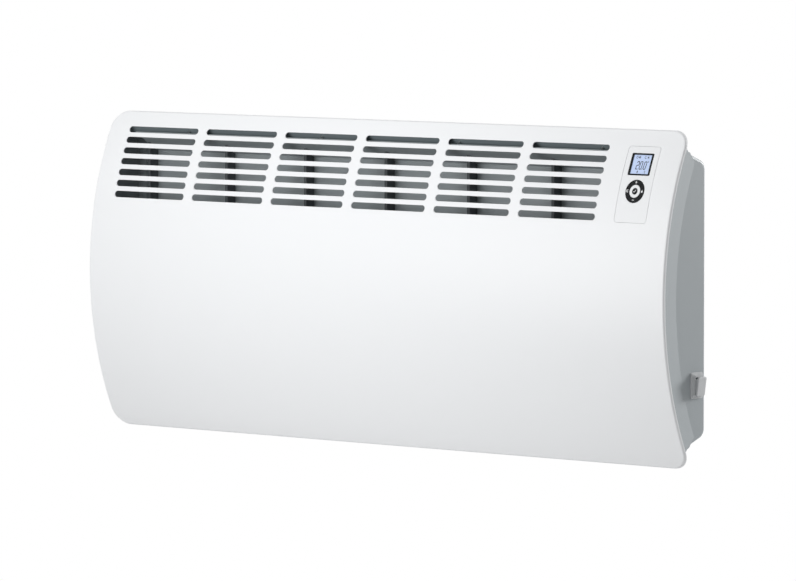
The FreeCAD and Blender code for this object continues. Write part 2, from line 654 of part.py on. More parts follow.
def guide_ribs():
    """Upright folded ribs between the air guide and the outlet slots, one to a slot column."""
    _, (d1, z1), _ = guide_line()
    low = z1 - RIB_HANG
    front = d1 - RIB_DEPTH
    web = [(front, low, 0.0), (d1 - 0.1, low, 0.0), (d1 - 0.1, z1 - 0.5, 0.0),
           (front, guide_height(front) - 1.0, 0.0)]
    fold_top = guide_height(front + RIB_SHEET) - 0.9
    ribs = []
    for column in range(SLOT_COLUMNS):
        x = SLOT_LEFT + RIB_START + column * SLOT_PITCH_X
        rib = plate_yz([(FRONT_Y + d, z, r) for d, z, r in web], x, x + RIB_SHEET)
        fold = block(x, x + RIB_FOLD, FRONT_Y + front, FRONT_Y + front + RIB_SHEET, low, fold_top)
        ribs.append(rib.fuse(fold).removeSplitter())
    return Part.makeCompound(ribs)


# ---- heating element -----------------------------------------------------------------------
def tube_rows():
    return [FAN_Y + side * HEATER_TUBE_SPACING / 2 for side in (-1, 1)]


def element_fins():
    """Row of thin fins on two collar tubes."""
    x0, x1 = ELEMENT_X
    count = round((x1 - x0) / FIN_PITCH)
    pitch = (x1 - x0 - FIN_THICK) / count
    half = FIN_DEPTH / 2
    pieces = [block(x0 + i * pitch, x0 + i * pitch + FIN_THICK, FAN_Y - half, FAN_Y + half,
                    ELEMENT_Z - FIN_HEIGHT / 2, ELEMENT_Z + FIN_HEIGHT / 2) for i in range(count + 1)]
    collars = [rod(vec(x0, y, ELEMENT_Z), X_AXIS, HEATER_TUBE_R + FIN_COLLAR, x1 - x0) for y in tube_rows()]
    bores = [rod(vec(x0 - 1, y, ELEMENT_Z), X_AXIS, HEATER_TUBE_R + SLIP, x1 - x0 + 2) for y in tube_rows()]
    return pieces[0].multiFuse(pieces[1:] + collars).cut(bores)


def element_tube():
    """Hairpin tube through the fins, bent at its left end."""
    x0 = ELEMENT_X[0] - ELEMENT_PLATE_GAP - 10.0
    x1 = ELEMENT_X[1] + ELEMENT_PLATE_GAP + TUBE_TAIL
    legs = [rod(vec(x0, y, ELEMENT_Z), X_AXIS, HEATER_TUBE_R, x1 - x0) for y in tube_rows()]
    bend = Part.makeTorus(HEATER_TUBE_SPACING / 2, HEATER_TUBE_R, vec(x0, FAN_Y, ELEMENT_Z), Z_AXIS)
    reach = HEATER_TUBE_SPACING
    bend = bend.common(block(x0 - reach, x0, FAN_Y - reach, FAN_Y + reach,
                             ELEMENT_Z - reach, ELEMENT_Z + reach))
    return fuse(legs + [bend])


def element_terminals():
    """Ceramic beads on the tube ends and the pins that leave them."""
    x = ELEMENT_X[1] + ELEMENT_PLATE_GAP + TUBE_TAIL
    pieces = []
    for y in tube_rows():
        bead = rod(vec(x, y, ELEMENT_Z), X_AXIS, HEATER_TUBE_R + 0.8, BEAD_LENGTH)
        pin = rod(vec(x + BEAD_LENGTH, y, ELEMENT_Z), X_AXIS, 1.2, 9.0)
        pieces.append(bead.fuse(pin).removeSplitter())
    return Part.makeCompound(pieces)


def foot_screw_x(x, side):
    return x + PLATE_SHEET / 2 + side * FOOT_SCREW


def carrier_foot(x, side, low, high):
    """Foot folded off a carrier plate, against the tray's back."""
    x0, x1 = sorted((x + PLATE_SHEET / 2, x + PLATE_SHEET / 2 + side * FOOT_LENGTH))
    return block(x0, x1, FOOT_Y - PLATE_SHEET, FOOT_Y, low, high)


def foot_holes(x, side, heights):
    return [rod(vec(foot_screw_x(x, side), FOOT_Y + 1, z), Y_AXIS * -1, REAR_SCREW[0] + SLIP, 6)
            for z in heights]


def carrier_plate(x, side):
    """Sheet plate that carries the element; side is the way its foot turns."""
    front = FAN_Y - FIN_DEPTH / 2
    low, high = ELEMENT_Z - ELEMENT_PLATE_HALF, ELEMENT_Z + ELEMENT_PLATE_HALF
    corners = [(front, low, 4.0), (FOOT_Y, low, 0.0), (FOOT_Y, high, 0.0), (front, high, 4.0)]
    holes = [rod(vec(x - 1, y, ELEMENT_Z), X_AXIS, HEATER_TUBE_R + SLIP, 4) for y in tube_rows()]
    plate = plate_yz(corners, x, x + PLATE_SHEET).fuse(carrier_foot(x, side, low, high))
    return plate.removeSplitter().cut(holes + foot_holes(x, side, [ELEMENT_Z]))


def carrier_places():
    x0, x1 = ELEMENT_X
    return [(x0 - ELEMENT_PLATE_GAP - PLATE_SHEET, -1), (x1 + ELEMENT_PLATE_GAP, 1)]


def rear_screw_sites():
    """Screws through the tray's back into the carriers and the fan's end plates."""
    sites = [(foot_screw_x(x, side), ELEMENT_Z) for x, side in carrier_places()]
    for x, side in end_plate_places():
        sites += [(foot_screw_x(x, side), z) for z in fan_screw_heights()]
    return [vec(x, TRAY_BACK_Y, z) for x, z in sites]


def rear_screws():
    return [screw(spot + Y_AXIS * HEAD_LIFT, Y_AXIS * -1, *REAR_SCREW) for spot in rear_screw_sites()]


def thermal_cutout():
    """Round safety thermostat on a strap above the element's right end."""
    x = ELEMENT_X[1] + ELEMENT_PLATE_GAP + PLATE_SHEET
    y, z = FAN_Y, ELEMENT_Z + 13.0
    can = rod(vec(x + 0.05, y, z), X_AXIS, 7.0, 6.0)
    flange = plate_yz(rectangle(30.0, 11.0, 3.0, y, z), x + 0.05, x + 1.05)
    tags = [block(x + 5.0, x + 14.0, y + side * 3.5 - 0.4, y + side * 3.5 + 0.4, z - 2.5, z + 2.5)
            for side in (-1, 1)]
    return fuse([can, flange] + tags)


# ---- fan -----------------------------------------------------------------------------------
def end_plate_places():
    reach = FAN_HALF_LENGTH + FAN_END_GAP
    return [(-reach - PLATE_SHEET, -1), (reach, 1)]


def fan_screw_heights():
    return [FAN_Z - FAN_SCREW_Z, FAN_Z + FAN_SCREW_Z]


def fan_impeller():
    """Crossflow wheel: curved blades between rings, with hubs in its end discs."""
    centre = vec(0, FAN_Y, FAN_Z)
    x0 = -FAN_HALF_LENGTH
    bay = 2 * FAN_HALF_LENGTH / FAN_RINGS
    inner = 0.72 * FAN_RADIUS
    blade_r = 0.32 * FAN_RADIUS
    bar = tube(vec(x0, FAN_Y + blade_r * 0.55, FAN_Z + 0.86 * FAN_RADIUS), X_AXIS,
               blade_r, blade_r - 0.8, 2 * FAN_HALF_LENGTH)
    bar = bar.common(tube(vec(x0, FAN_Y, FAN_Z), X_AXIS, FAN_RADIUS - 0.3, inner, 2 * FAN_HALF_LENGTH))
    bar = bar.common(block(x0, -x0, FAN_Y - FAN_RADIUS, FAN_Y + blade_r * 0.55, FAN_Z, FAN_Z + FAN_RADIUS))
    pieces = []
    for i in range(FAN_BLADES):
        blade = bar.copy()
        blade.rotate(centre, X_AXIS, 360.0 * i / FAN_BLADES)
        pieces.append(blade)
    for i in range(FAN_RINGS + 1):
        x = x0 + i * bay - FAN_SHEET / 2
        pieces.append(tube(vec(x, FAN_Y, FAN_Z), X_AXIS, FAN_RADIUS, inner - 0.6, FAN_SHEET))
    for side in (-1, 1):
        x = side * FAN_HALF_LENGTH
        pieces.append(rod(vec(x - FAN_SHEET / 2, FAN_Y, FAN_Z), X_AXIS, inner, FAN_SHEET))
        pieces.append(rod(vec(x - (10.0 if side > 0 else 0.0), FAN_Y, FAN_Z), X_AXIS, 7.0, 10.0))
    wheel = pieces[0].multiFuse(pieces[1:])
    return wheel.cut(rod(vec(x0 - 5, FAN_Y, FAN_Z), X_AXIS, SHAFT_R + SLIP, 2 * FAN_HALF_LENGTH + 10))


def fan_shaft():
    start = -FAN_HALF_LENGTH - FAN_END_GAP - BUSH_LENGTH
    return rod(vec(start, FAN_Y, FAN_Z), X_AXIS, SHAFT_R, MOTOR_STRAP_X + 6.0 - start)


def motor_rotor():
    x = STATOR_X - 1.0
    bell = rod(vec(x, FAN_Y, FAN_Z), X_AXIS, ROTOR_R, STATOR_LENGTH + 2.0)
    return bell.cut(rod(vec(x - 1, FAN_Y, FAN_Z), X_AXIS, SHAFT_R + SLIP, STATOR_LENGTH + 6.0))


def fan_end_plate(x, side):
    """Plate across the fan's end, with a foot on the tray's back."""
    front = FAN_Y - FAN_RADIUS - 4.0
    low, high = FAN_Z - FAN_PLATE_RISE[0], FAN_Z + FAN_PLATE_RISE[1]
    corners = [(front, low, 6.0), (FOOT_Y, low, 0.0), (FOOT_Y, high, 0.0), (front, high, 6.0)]
    bore_r = BUSH_R + SLIP if side < 0 else SHAFT_R + 3.0
    holes = [rod(vec(x - 1, FAN_Y, FAN_Z), X_AXIS, bore_r, 4)]
    if side > 0:
        holes += [rod(vec(x - 1, y, z), X_AXIS, MOUNT_NECK_R + SLIP, 4) for y, z in motor_posts()]
    plate = plate_yz(corners, x, x + PLATE_SHEET).fuse(carrier_foot(x, side, low, high))
    return plate.removeSplitter().cut(holes + foot_holes(x, side, fan_screw_heights()))


def motor_posts():
    half = STATOR / 2 - POST_INSET
    return [(FAN_Y + side * half, FAN_Z - side * half) for side in (-1, 1)]


def left_bush():
    x = -FAN_HALF_LENGTH - FAN_END_GAP - PLATE_SHEET - BUSH_LENGTH / 2 + 1.5
    flange = tube(vec(-FAN_HALF_LENGTH - FAN_END_GAP + 0.05, FAN_Y, FAN_Z), X_AXIS, BUSH_R + 2.0,
                  SHAFT_R + RUN_FIT, 1.2)
    sleeve = tube(vec(x, FAN_Y, FAN_Z), X_AXIS, BUSH_R, SHAFT_R + RUN_FIT,
                  -FAN_HALF_LENGTH - FAN_END_GAP + 0.1 - x)
    return sleeve.fuse(flange).removeSplitter()


def motor_stator():
    """Laminated block of the shaded-pole motor."""
    end = STATOR_X + STATOR_LENGTH
    half = STATOR / 2
    laminations = plate_yz(rectangle(STATOR, STATOR, 4.0, FAN_Y, FAN_Z), STATOR_X, end)
    window = block(STATOR_X - 1, end + 1, FAN_Y - half + 5, FAN_Y + half - 5, FAN_Z + ROTOR_R + 2.4,
                   FAN_Z + half - 3.4)
    bores = [rod(vec(STATOR_X - 1, FAN_Y, FAN_Z), X_AXIS, ROTOR_R + AIR_GAP, STATOR_LENGTH + 2)]
    bores += [rod(vec(STATOR_X - 1, y, z), X_AXIS, MOTOR_SCREW[0] + SLIP, STATOR_LENGTH + 2)
              for y, z in motor_posts()]
    return laminations.cut([window] + bores)


def motor_coil():
    """Wound bobbin round the stator's upper limb."""
    x0, x1 = STATOR_X - 5.0, STATOR_X + STATOR_LENGTH + 5.0
    z0, z1 = FAN_Z + ROTOR_R + 2.6, FAN_Z + STATOR / 2 + 3.0
    half = STATOR / 2 - 13.0
    coil = plate_xz([(x0, z0, 1.0), (x1, z0, 1.0), (x1, z1, 1.0), (x0, z1, 1.0)], FAN_Y - half, FAN_Y + half)
    core = block(STATOR_X - 0.2, STATOR_X + STATOR_LENGTH + 0.2, FAN_Y - half - 1, FAN_Y + half + 1,
                 FAN_Z + STATOR / 2 - 3.6, FAN_Z + STATOR / 2 + 0.2)
    return coil.cut(core)


def motor_strap():
    """Strap with the outer bush, and the two pillars that hold it off the stator."""
    (y0, z0), (y1, z1) = motor_posts()
    strap = plate_yz(rectangle(math.hypot(y1 - y0, z1 - z0) + 11.0, 11.0, 5.0), 0, STRAP_SHEET)
    strap.rotate(vec(0, 0, 0), X_AXIS, math.degrees(math.atan2(z1 - z0, y1 - y0)))
    strap.translate(vec(MOTOR_STRAP_X, FAN_Y, FAN_Z))
    start = STATOR_X + STATOR_LENGTH + 0.05
    pieces = [rod(vec(start, y, z), X_AXIS, 3.6, MOTOR_STRAP_X - start) for y, z in motor_posts()]
    pieces.append(rod(vec(MOTOR_STRAP_X - 4.0, FAN_Y, FAN_Z), X_AXIS, BUSH_R + 1.5, 6.0))
    holes = [rod(vec(MOTOR_STRAP_X - 5, FAN_Y, FAN_Z), X_AXIS, SHAFT_R + RUN_FIT, 10)]
    holes += [rod(vec(start - 1, y, z), X_AXIS, MOTOR_SCREW[0] + SLIP, MOTOR_STRAP_X - start + 5)
              for y, z in motor_posts()]
    return strap.multiFuse(pieces).removeSplitter().cut(holes)


def motor_screws():
    """Long screws through the strap, the stator and the rubber mounts."""
    radius, head_r, head_h = MOTOR_SCREW
    seat = MOTOR_STRAP_X + STRAP_SHEET + HEAD_LIFT
    length = seat - (FAN_HALF_LENGTH + FAN_END_GAP) + 3.0
    return Part.makeCompound([screw(vec(seat, y, z), X_AXIS * -1, radius, length, head_r, head_h)
                              for y, z in motor_posts()])


def motor_mounts():
    """Rubber grommets between the right end plate and the stator."""
    plate_x = FAN_HALF_LENGTH + FAN_END_GAP
    length = STATOR_X - 0.05 - (plate_x - 3.0)
    pieces = []
    for y, z in motor_posts():
        ring = tube(vec(plate_x - 3.0, y, z), X_AXIS, MOUNT_NECK_R + 2.0, MOTOR_SCREW[0] + SLIP, length)
        groove = tube(vec(plate_x - 0.1, y, z), X_AXIS, MOUNT_NECK_R + 3.0, MOUNT_NECK_R, PLATE_SHEET + 0.2)
        pieces.append(ring.cut(groove))
    return Part.makeCompound(pieces)


def fan_scroll():
    """Curved sheet round the front of the fan, rising into the duct's front wall."""
    radius = FAN_RADIUS + 3.5
    half = FAN_HALF_LENGTH + FAN_END_GAP - 0.1
    shell = tube(vec(-half, FAN_Y, FAN_Z), X_AXIS, radius + 1.0, radius, 2 * half)
    keep = block(-half, half, FAN_Y - 2 * radius, FAN_Y - 0.35 * radius, FAN_Z - 2 * radius, FAN_Z)
    wall = block(-half, half, FAN_Y - radius - 1.0, FAN_Y - radius, FAN_Z, FAN_Z + 22.0)
    return shell.common(keep).fuse(wall).removeSplitter()


def fan_tongue():
    """Narrow folded sheet behind the fan that parts inlet from outlet."""
    near = FAN_Y + FAN_RADIUS + 2.0
    half = FAN_HALF_LENGTH + FAN_END_GAP - 0.1
    corners = [(near, FAN_Z + 8.0, 0.0), (near + 1.0, FAN_Z + 8.0, 0.0), (near + 1.0, FAN_Z + 21.0, 0.0),
               (FOOT_Y, FAN_Z + 21.0, 0.0), (FOOT_Y, FAN_Z + 22.0, 0.0), (near, FAN_Z + 22.0, 0.0)]
    return plate_yz(corners, -half, half)


# ---- wall bracket and locks ----------------------------------------------------------------
def wall_screw_sites():
    return [(sx * BRACKET_X, sz * SCREW_Z) for sx in (-1, 1) for sz in (-1, 1)]


def wall_bracket():
    """Hanging frame: two uprights with hooks and lock collars, joined by two rails."""
    sheet = BRACKET_SHEET
    low = LOCK_Z - UPRIGHT_HALF
    high = HOOK_Z + UPRIGHT_HALF
    pieces = []
    for x in (-BRACKET_X, BRACKET_X):
        left, right = x - UPRIGHT_HALF, x + UPRIGHT_HALF
        pieces.append(plate_xz([(left, low, 6), (right, low, 6), (right, high, 6), (left, high, 6)],
                               -sheet, 0.0))
        half = HOOK_WIDTH / 2
        pieces.append(block(x - half, x + half, HOOK_FACE_Y - sheet, -sheet, HOOK_Z - sheet, HOOK_Z))
        pieces.append(plate_xz([(x - half, HOOK_Z - sheet, 0), (x + half, HOOK_Z - sheet, 0),
                                (x + half, HOOK_Z + HOOK_LIP, 3), (x - half, HOOK_Z + HOOK_LIP, 3)],
                               HOOK_FACE_Y - sheet, HOOK_FACE_Y))
        for edge in (x - half, x + half - sheet):
            gusset = [(-sheet, HOOK_Z - sheet, 0), (-sheet, HOOK_Z - sheet - 14.0, 0),
                      (-WALL_GAP + 3.0, HOOK_Z - sheet, 0)]
            pieces.append(plate_yz(gusset, edge, edge + sheet))
        pieces.append(rod(vec(x, -sheet, LOCK_Z), Y_AXIS * -1, LOCK_COLLAR[0], LOCK_COLLAR[1]))
    for side in (-1, 1):
        z = side * SCREW_Z
        pieces.append(block(-BRACKET_X, BRACKET_X, -sheet, 0.0, z - RAIL_HALF, z + RAIL_HALF))
        for edge in (z - RAIL_HALF, z + RAIL_HALF - sheet):
            pieces.append(block(-BRACKET_X + UPRIGHT_HALF, BRACKET_X - UPRIGHT_HALF, -sheet - RAIL_FOLD,
                                -sheet, edge, edge + sheet))
    frame = fuse(pieces)
    holes = [rod(vec(x, 1, z), Y_AXIS * -1, WALL_SCREW_R, 5) for x, z in wall_screw_sites()]
    for x in (-BRACKET_X, BRACKET_X):
        holes.append(rod(vec(x, 1, LOCK_Z), Y_AXIS * -1, LOCK_SHAFT_R + RUN_FIT, 20))
        holes.append(rod(vec(x, 0, LOCK_Z), Y_AXIS * -1, LOCK_SHAFT_R + 2.5, sheet))
    return frame.cut(holes)


def lock(x):
    """Quarter-turn lock: shaft, T-shaped head, lever and thumb grip."""
    long, wide, thick = LOCK_HEAD
    face = HOOK_FACE_Y
    shaft = rod(vec(x, -LOCK_START, LOCK_Z), Y_AXIS * -1, LOCK_SHAFT_R, -LOCK_START - face + thick)
    flange = rod(vec(x, -LOCK_START, LOCK_Z), Y_AXIS * -1, LOCK_SHAFT_R + 2.0, BRACKET_SHEET - 0.5)
    head = plate_xz(rectangle(long, wide, 2.5, x, LOCK_Z), face - thick, face)
    front = -BRACKET_SHEET - LOCK_COLLAR[1] - 0.3
    hub = rod(vec(x, front, LOCK_Z), Y_AXIS * -1, LOCK_COLLAR[0], 4.0)
    low = LOCK_Z - LOCK_LEVER
    lever = plate_xz([(x - 6, low, 5), (x + 6, low, 5), (x + 6, LOCK_Z, 0), (x - 6, LOCK_Z, 0)],
                     front - 4.0, front)
    grip = plate_xz([(x - 6, low, 5), (x + 6, low, 5), (x + 6, low + 14, 2), (x - 6, low + 14, 2)],
                    front - 9.0, front)
    return fuse([shaft, flange, head, hub, lever, grip])


def wall_bumpers():
    """Rubber feet on the tray's back that steady the heater on the wall."""
    z = -SHOULDER[2][1] + 28.0
    x = BULKHEAD_X - 20.0
    feet = []
    for side in (-1, 1):
        foot = rod(vec(side * x, TRAY_BACK_Y, z), Y_AXIS, 8.0, -TRAY_BACK_Y - BUMPER_CLEAR)
        rim = [e for e in foot.Edges if on_plane(e, vec(0, -BUMPER_CLEAR, 0), Y_AXIS)]
        feet.append(foot.makeFillet(2.0, rim))
    return Part.makeCompound(feet)


# ---- cable inlet ---------------------------------------------------------------------------
def cable_gland():
    """Threaded bush through the tray's back, with a flange outside."""
    outside = TRAY_BACK_Y + 0.05
    body = rod(vec(CABLE_X, outside, CABLE_Z), Y_AXIS * -1, GLAND_THREAD_R, 14.0)
    flange = rod(vec(CABLE_X, outside, CABLE_Z), Y_AXIS, *GLAND_FLANGE)
    nose = rod(vec(CABLE_X, outside + GLAND_FLANGE[1], CABLE_Z), Y_AXIS, 7.5, 6.0)
    gland = fuse([body, flange, nose])
    return gland.cut(rod(vec(CABLE_X, outside + 20, CABLE_Z), Y_AXIS * -1, CABLE_BORE_R, 40))


def gland_nut():
    face = TRAY_FACE_Y - 0.05
    nut = hexagon(vec(CABLE_X, face, CABLE_Z), Y_AXIS * -1, *GLAND_NUT)
    return nut.cut(rod(vec(CABLE_X, face + 1, CABLE_Z), Y_AXIS * -1, GLAND_THREAD_R + SLIP, 10))


def inner_block(y_thick, x0, x1, z0, z1, stand=0.0):
    """Block standing on the tray's back, a distance off it."""
    back = FOOT_Y - stand
    return block(x0, x1, back - y_thick, back, z0, z1)


def terminal_block():
    x0 = BULKHEAD_X + WALL_CLEAR
    z0 = CABLE_Z + 34.0
    body = inner_block(16.0, x0, x0 + TERMINALS * TERMINAL_PITCH, z0, z0 + 16.0)
    back = TRAY_FACE_Y
    wells = []
    for i in range(TERMINALS):
        x = x0 + TERMINAL_PITCH * (i + 0.5)
        wells.append(rod(vec(x, back - 17.0, z0 + 8.0), Y_AXIS, 2.6, 5.0))
        wells.append(rod(vec(x, back - 8.0, z0 - 1), Z_AXIS, 2.0, 8.0))
        wells.append(rod(vec(x, back - 8.0, z0 + 17), Z_AXIS * -1, 2.0, 8.0))
    for i in range(1, TERMINALS):
        x = x0 + TERMINAL_PITCH * i
        wells.append(block(x - 0.6, x + 0.6, back - 17.0, back - 11.0, z0 - 1, z0 + 17))
    return body.cut(wells)


# ---- electronics ---------------------------------------------------------------------------
def power_board_corners():
    """Screw holes of the power board."""
    x = BULKHEAD_X + WALL_CLEAR + POWER_BOARD[0] / 2
    half_x, half_z = POWER_BOARD[0] / 2 - BOARD_HOLE_INSET, POWER_BOARD[1] / 2 - BOARD_HOLE_INSET
    return [(x + sx * half_x, POWER_BOARD_Z + sz * half_z) for sx in (-1, 1) for sz in (-1, 1)]


def board_origin():
    """Lower left corner of the power board."""
    x, z = power_board_corners()[0]
    return x - BOARD_HOLE_INSET, z - BOARD_HOLE_INSET


def power_board():
    x0, z0 = board_origin()
    board = inner_block(BOARD_SHEET, x0, x0 + POWER_BOARD[0], z0, z0 + POWER_BOARD[1], POWER_STAND)
    return board.cut([rod(vec(x, 0, z), Y_AXIS * -1, SPACER_STUB_R, 80) for x, z in power_board_corners()])


def board_spacers():
    posts = []
    for x, z in power_board_corners():
        post = rod(vec(x, FOOT_Y, z), Y_AXIS * -1, 2 * SPACER_STUB_R, POWER_STAND)
        stub = rod(vec(x, FOOT_Y - POWER_STAND, z), Y_AXIS * -1, SPACER_STUB_R - SLIP, 4.0)
        posts.append(post.fuse(stub).removeSplitter())
    return Part.makeCompound(posts)


def on_board(thick, dx, dz, width, height):
    """Component on the power board; dx and dz run from the board's lower left corner."""
    x0, z0 = board_origin()
    return inner_block(thick, x0 + dx, x0 + dx + width, z0 + dz, z0 + dz + height,
                       POWER_STAND + BOARD_SHEET + 0.05)


def relays():
    return [on_board(15.0, 12.0 + 25.0 * i, 12.0, 19.0, 15.0) for i in range(2)]


def transformer():
    core = on_board(20.0, 14.0, 66.0, 30.0, 28.0)
    x = core.BoundBox.XMin + 15.0
    front = core.BoundBox.YMin
    bobbin = block(x - 9.0, x + 9.0, front - 2.0, front, core.BoundBox.ZMin + 4, core.BoundBox.ZMax - 4)
    return core.fuse(bobbin).removeSplitter()


def capacitors():
    x0, z0 = board_origin()
    face = FOOT_Y - POWER_STAND - BOARD_SHEET - 0.05
    return [rod(vec(x0 + 12.0 + 16.0 * i, face, z0 + 46.0), Y_AXIS * -1, 6.0, 17.0) for i in range(3)]


def room_sensor():
    """Bead thermistor in a small clip low on the tray's back."""
    x = BULKHEAD_X + 22.0
    z = CABLE_Z - 14.0
    clip = inner_block(9.0, x - 5.0, x + 5.0, z - 4.0, z + 4.0)
    back = TRAY_FACE_Y
    return clip.fuse(rod(vec(x, back - 9.0, z), Y_AXIS * -1, 2.4, 8.0)).removeSplitter()


# ---- control fascia ------------------------------------------------------------------------
def at_keys(shape):
    return on_panel(shape, KEYS_S)


def at_display(shape):
    return on_panel(shape, DISPLAY_S)


def from_front(depth):
    return FRONT_Y + depth


def board_post_sites():
    half_x = BOARD_SIZE[0] / 2 - BOARD_POST_INSET
    half_z = BOARD_SIZE[1] / 2 - BOARD_POST_INSET
    return [(FASCIA_X + sx * half_x, FASCIA_RISE + sz * half_z) for sx in (-1, 1) for sz in (-1, 1)]


def carrier_pegs(radius, depth0, depth1):
    return [rod(vec(FASCIA_X + side * (KEY_RING_R + 3.6), from_front(depth0), 0), Y_AXIS, radius,
                depth1 - depth0) for side in (-1, 1)]


def control_fascia():
    """Plate flush with the panel, its hidden lip behind the panel's sheet."""
    face = fascia_block(0.0, FASCIA_CORNER, -5.0, 12.0).common(behind(ARC_RADIUS))
    lip = fascia_block(FASCIA_LIP, FASCIA_CORNER, -5.0, 12.0).common(behind(SKIN_R - FIT))
    plate = face.fuse(lip).cut(behind(ARC_RADIUS - FASCIA_THICK))
    fixings = []
    for x, z in board_post_sites():
        start = z * z / (2 * ARC_RADIUS) + 1.5
        fixings.append(at_keys(rod(vec(x, from_front(start), z), Y_AXIS, 2.2, BOARD_DEPTH - start)))
    fixings += [at_keys(peg) for peg in carrier_pegs(1.3, 1.5, 5.6)]
    window = plate_xz(rectangle(DISPLAY_SIZE[0] + 0.2, DISPLAY_SIZE[1] + 0.2, 1.6, FASCIA_X, 0.0),
                      from_front(-5), from_front(8))
    ring = rod(vec(FASCIA_X, from_front(-5), 0), Y_AXIS, KEY_RING_R + KEY_GAP, 12)
    bores = [at_keys(rod(vec(x, from_front(BOARD_DEPTH + 1), z), Y_AXIS * -1, 1.0, 6.5))
             for x, z in board_post_sites()]
    return plate.multiFuse(fixings).removeSplitter().cut([at_display(window), at_keys(ring)] + bores)


def display_frame():
    """Black surround of the display, flush with the fascia, with a flange behind it."""
    width, height = DISPLAY_SIZE
    front = plate_xz(rectangle(width, height, 1.5, FASCIA_X, 0.0), from_front(-2), from_front(3.6))
    front = at_display(front).common(behind(ARC_RADIUS))
    grow = 2 * DISPLAY_FLANGE
    flange = plate_xz(rectangle(width + grow, height + grow, 1.5, FASCIA_X, 0.0), from_front(3.45),
                      from_front(4.6))
    view = plate_xz(rectangle(*DISPLAY_VIEW, 0.8, FASCIA_X, 0.0), from_front(-5), from_front(8))
    pocket = plate_xz(rectangle(DISPLAY_VIEW[0] + 3.0, DISPLAY_VIEW[1] + 2.4, 0.6, FASCIA_X, 0.0),
                      from_front(0.9), from_front(8))
    return front.fuse(at_display(flange)).removeSplitter().cut([at_display(view), at_display(pocket)])


def lcd_plate(depth0, depth1):
    outline = rectangle(DISPLAY_VIEW[0] + 2.8, DISPLAY_VIEW[1] + 2.2, 0.5, FASCIA_X, 0.0)
    return at_display(plate_xz(outline, from_front(depth0), from_front(depth1)))


def key_carrier():
    """White island and the disc behind the keys that guides their stems."""
    disc = rod(vec(FASCIA_X, from_front(3.7), 0), Y_AXIS, KEY_RING_R + CARRIER_RIM[0], 1.2)
    room = KEYS_DROP - DISPLAY_DROP - DISPLAY_SIZE[1] / 2 - DISPLAY_FLANGE - 0.4
    trim = min(KEY_RING_R + CARRIER_RIM[1], room)
    disc = disc.common(block(FASCIA_X - 30, FASCIA_X + 30, FRONT_Y, 0, -trim, trim))
    island = rod(vec(FASCIA_X, from_front(-0.2), 0), Y_AXIS, KEY_ISLAND_R, 4.5)
    rim = [e for e in island.Edges if on_plane(e, vec(0, from_front(-0.2), 0), Y_AXIS)]
    carrier = disc.fuse(island.makeFillet(0.3, rim)).removeSplitter()
    holes = [rod(vec(FASCIA_X, from_front(-2), 0), Y_AXIS, KEY_OK_R + KEY_GAP, 10)]
    holes += [rod(vec(x, from_front(0), z), Y_AXIS, KEY_STEM_R + KEY_GAP, 10) for x, z in stem_sites()]
    holes += carrier_pegs(1.3 + SLIP, 0, 10)
    return at_keys(carrier.cut(holes))


def stem_sites():
    """Stems of the ring's keys: top, bottom, left and right."""
    r = (KEY_RING_R + KEY_ISLAND_R) / 2
    return [(FASCIA_X, r), (FASCIA_X, -r), (FASCIA_X - r, 0.0), (FASCIA_X + r, 0.0)]


def key_stem(x, z):
    stem = rod(vec(x, from_front(1.5), z), Y_AXIS, KEY_STEM_R, STEM_END - 1.5)
    clip = rod(vec(x, from_front(STEM_END - 0.6), z), Y_AXIS, KEY_STEM_R + 1.0, 0.6)
    return [stem, clip]


def ring_key(index):
    """One quarter of the key ring with its stem."""
    ring = tube(vec(FASCIA_X, from_front(-KEY_PROUD), 0), Y_AXIS, KEY_RING_R, KEY_ISLAND_R + KEY_GAP,
                2.5 + KEY_PROUD)
    cuts = []
    for angle in (45, -45):
        cut = block(-20, 20, from_front(-3), from_front(5), -KEY_GAP / 2, KEY_GAP / 2)
        cut.rotate(vec(0, 0, 0), Y_AXIS, angle)
        cut.translate(vec(FASCIA_X, 0, 0))
        cuts.append(cut)
    x, z = stem_sites()[index]
    quarter = min(ring.cut(cuts).Solids,
                  key=lambda s: math.hypot(s.CenterOfMass.x - x, s.CenterOfMass.z - z))
    rim = [e for e in quarter.Edges if on_plane(e, vec(0, from_front(-KEY_PROUD), 0), Y_AXIS)]
    return at_keys(fuse([quarter.makeFillet(0.3, rim)] + key_stem(x, z)))


def ok_key():
    cap = rod(vec(FASCIA_X, from_front(-KEY_PROUD), 0), Y_AXIS, KEY_OK_R, STEM_END - 0.6 + KEY_PROUD)
    rim = [e for e in cap.Edges if on_plane(e, vec(0, from_front(-KEY_PROUD), 0), Y_AXIS)]
    clip = rod(vec(FASCIA_X, from_front(STEM_END - 0.6), 0), Y_AXIS, KEY_OK_R + 1.0, 0.6)
    return at_keys(cap.makeFillet(0.3, rim).fuse(clip).removeSplitter())


def key_switches():
    """Tactile switches on the control board, one behind each key."""
    pieces = []
    for x, z in stem_sites() + [(FASCIA_X, 0.0)]:
        body = block(x - 2.6, x + 2.6, from_front(BOARD_DEPTH - SWITCH_HEIGHT + 1.0),
                     from_front(BOARD_DEPTH - 0.05), z - 2.6, z + 2.6)
        top = rod(vec(x, from_front(BOARD_DEPTH - SWITCH_HEIGHT), z), Y_AXIS, 1.5, 1.2)
        pieces.append(body.fuse(top).removeSplitter())
    return at_keys(Part.makeCompound(pieces))


def control_board():
    board = plate_xz(rectangle(*BOARD_SIZE, 2.0, FASCIA_X, FASCIA_RISE), from_front(BOARD_DEPTH + 0.05),
                     from_front(BOARD_DEPTH + 0.05 + BOARD_SHEET))
    holes = [rod(vec(x, from_front(5), z), Y_AXIS, 1.3, 12) for x, z in board_post_sites()]
    return at_keys(board.cut(holes))


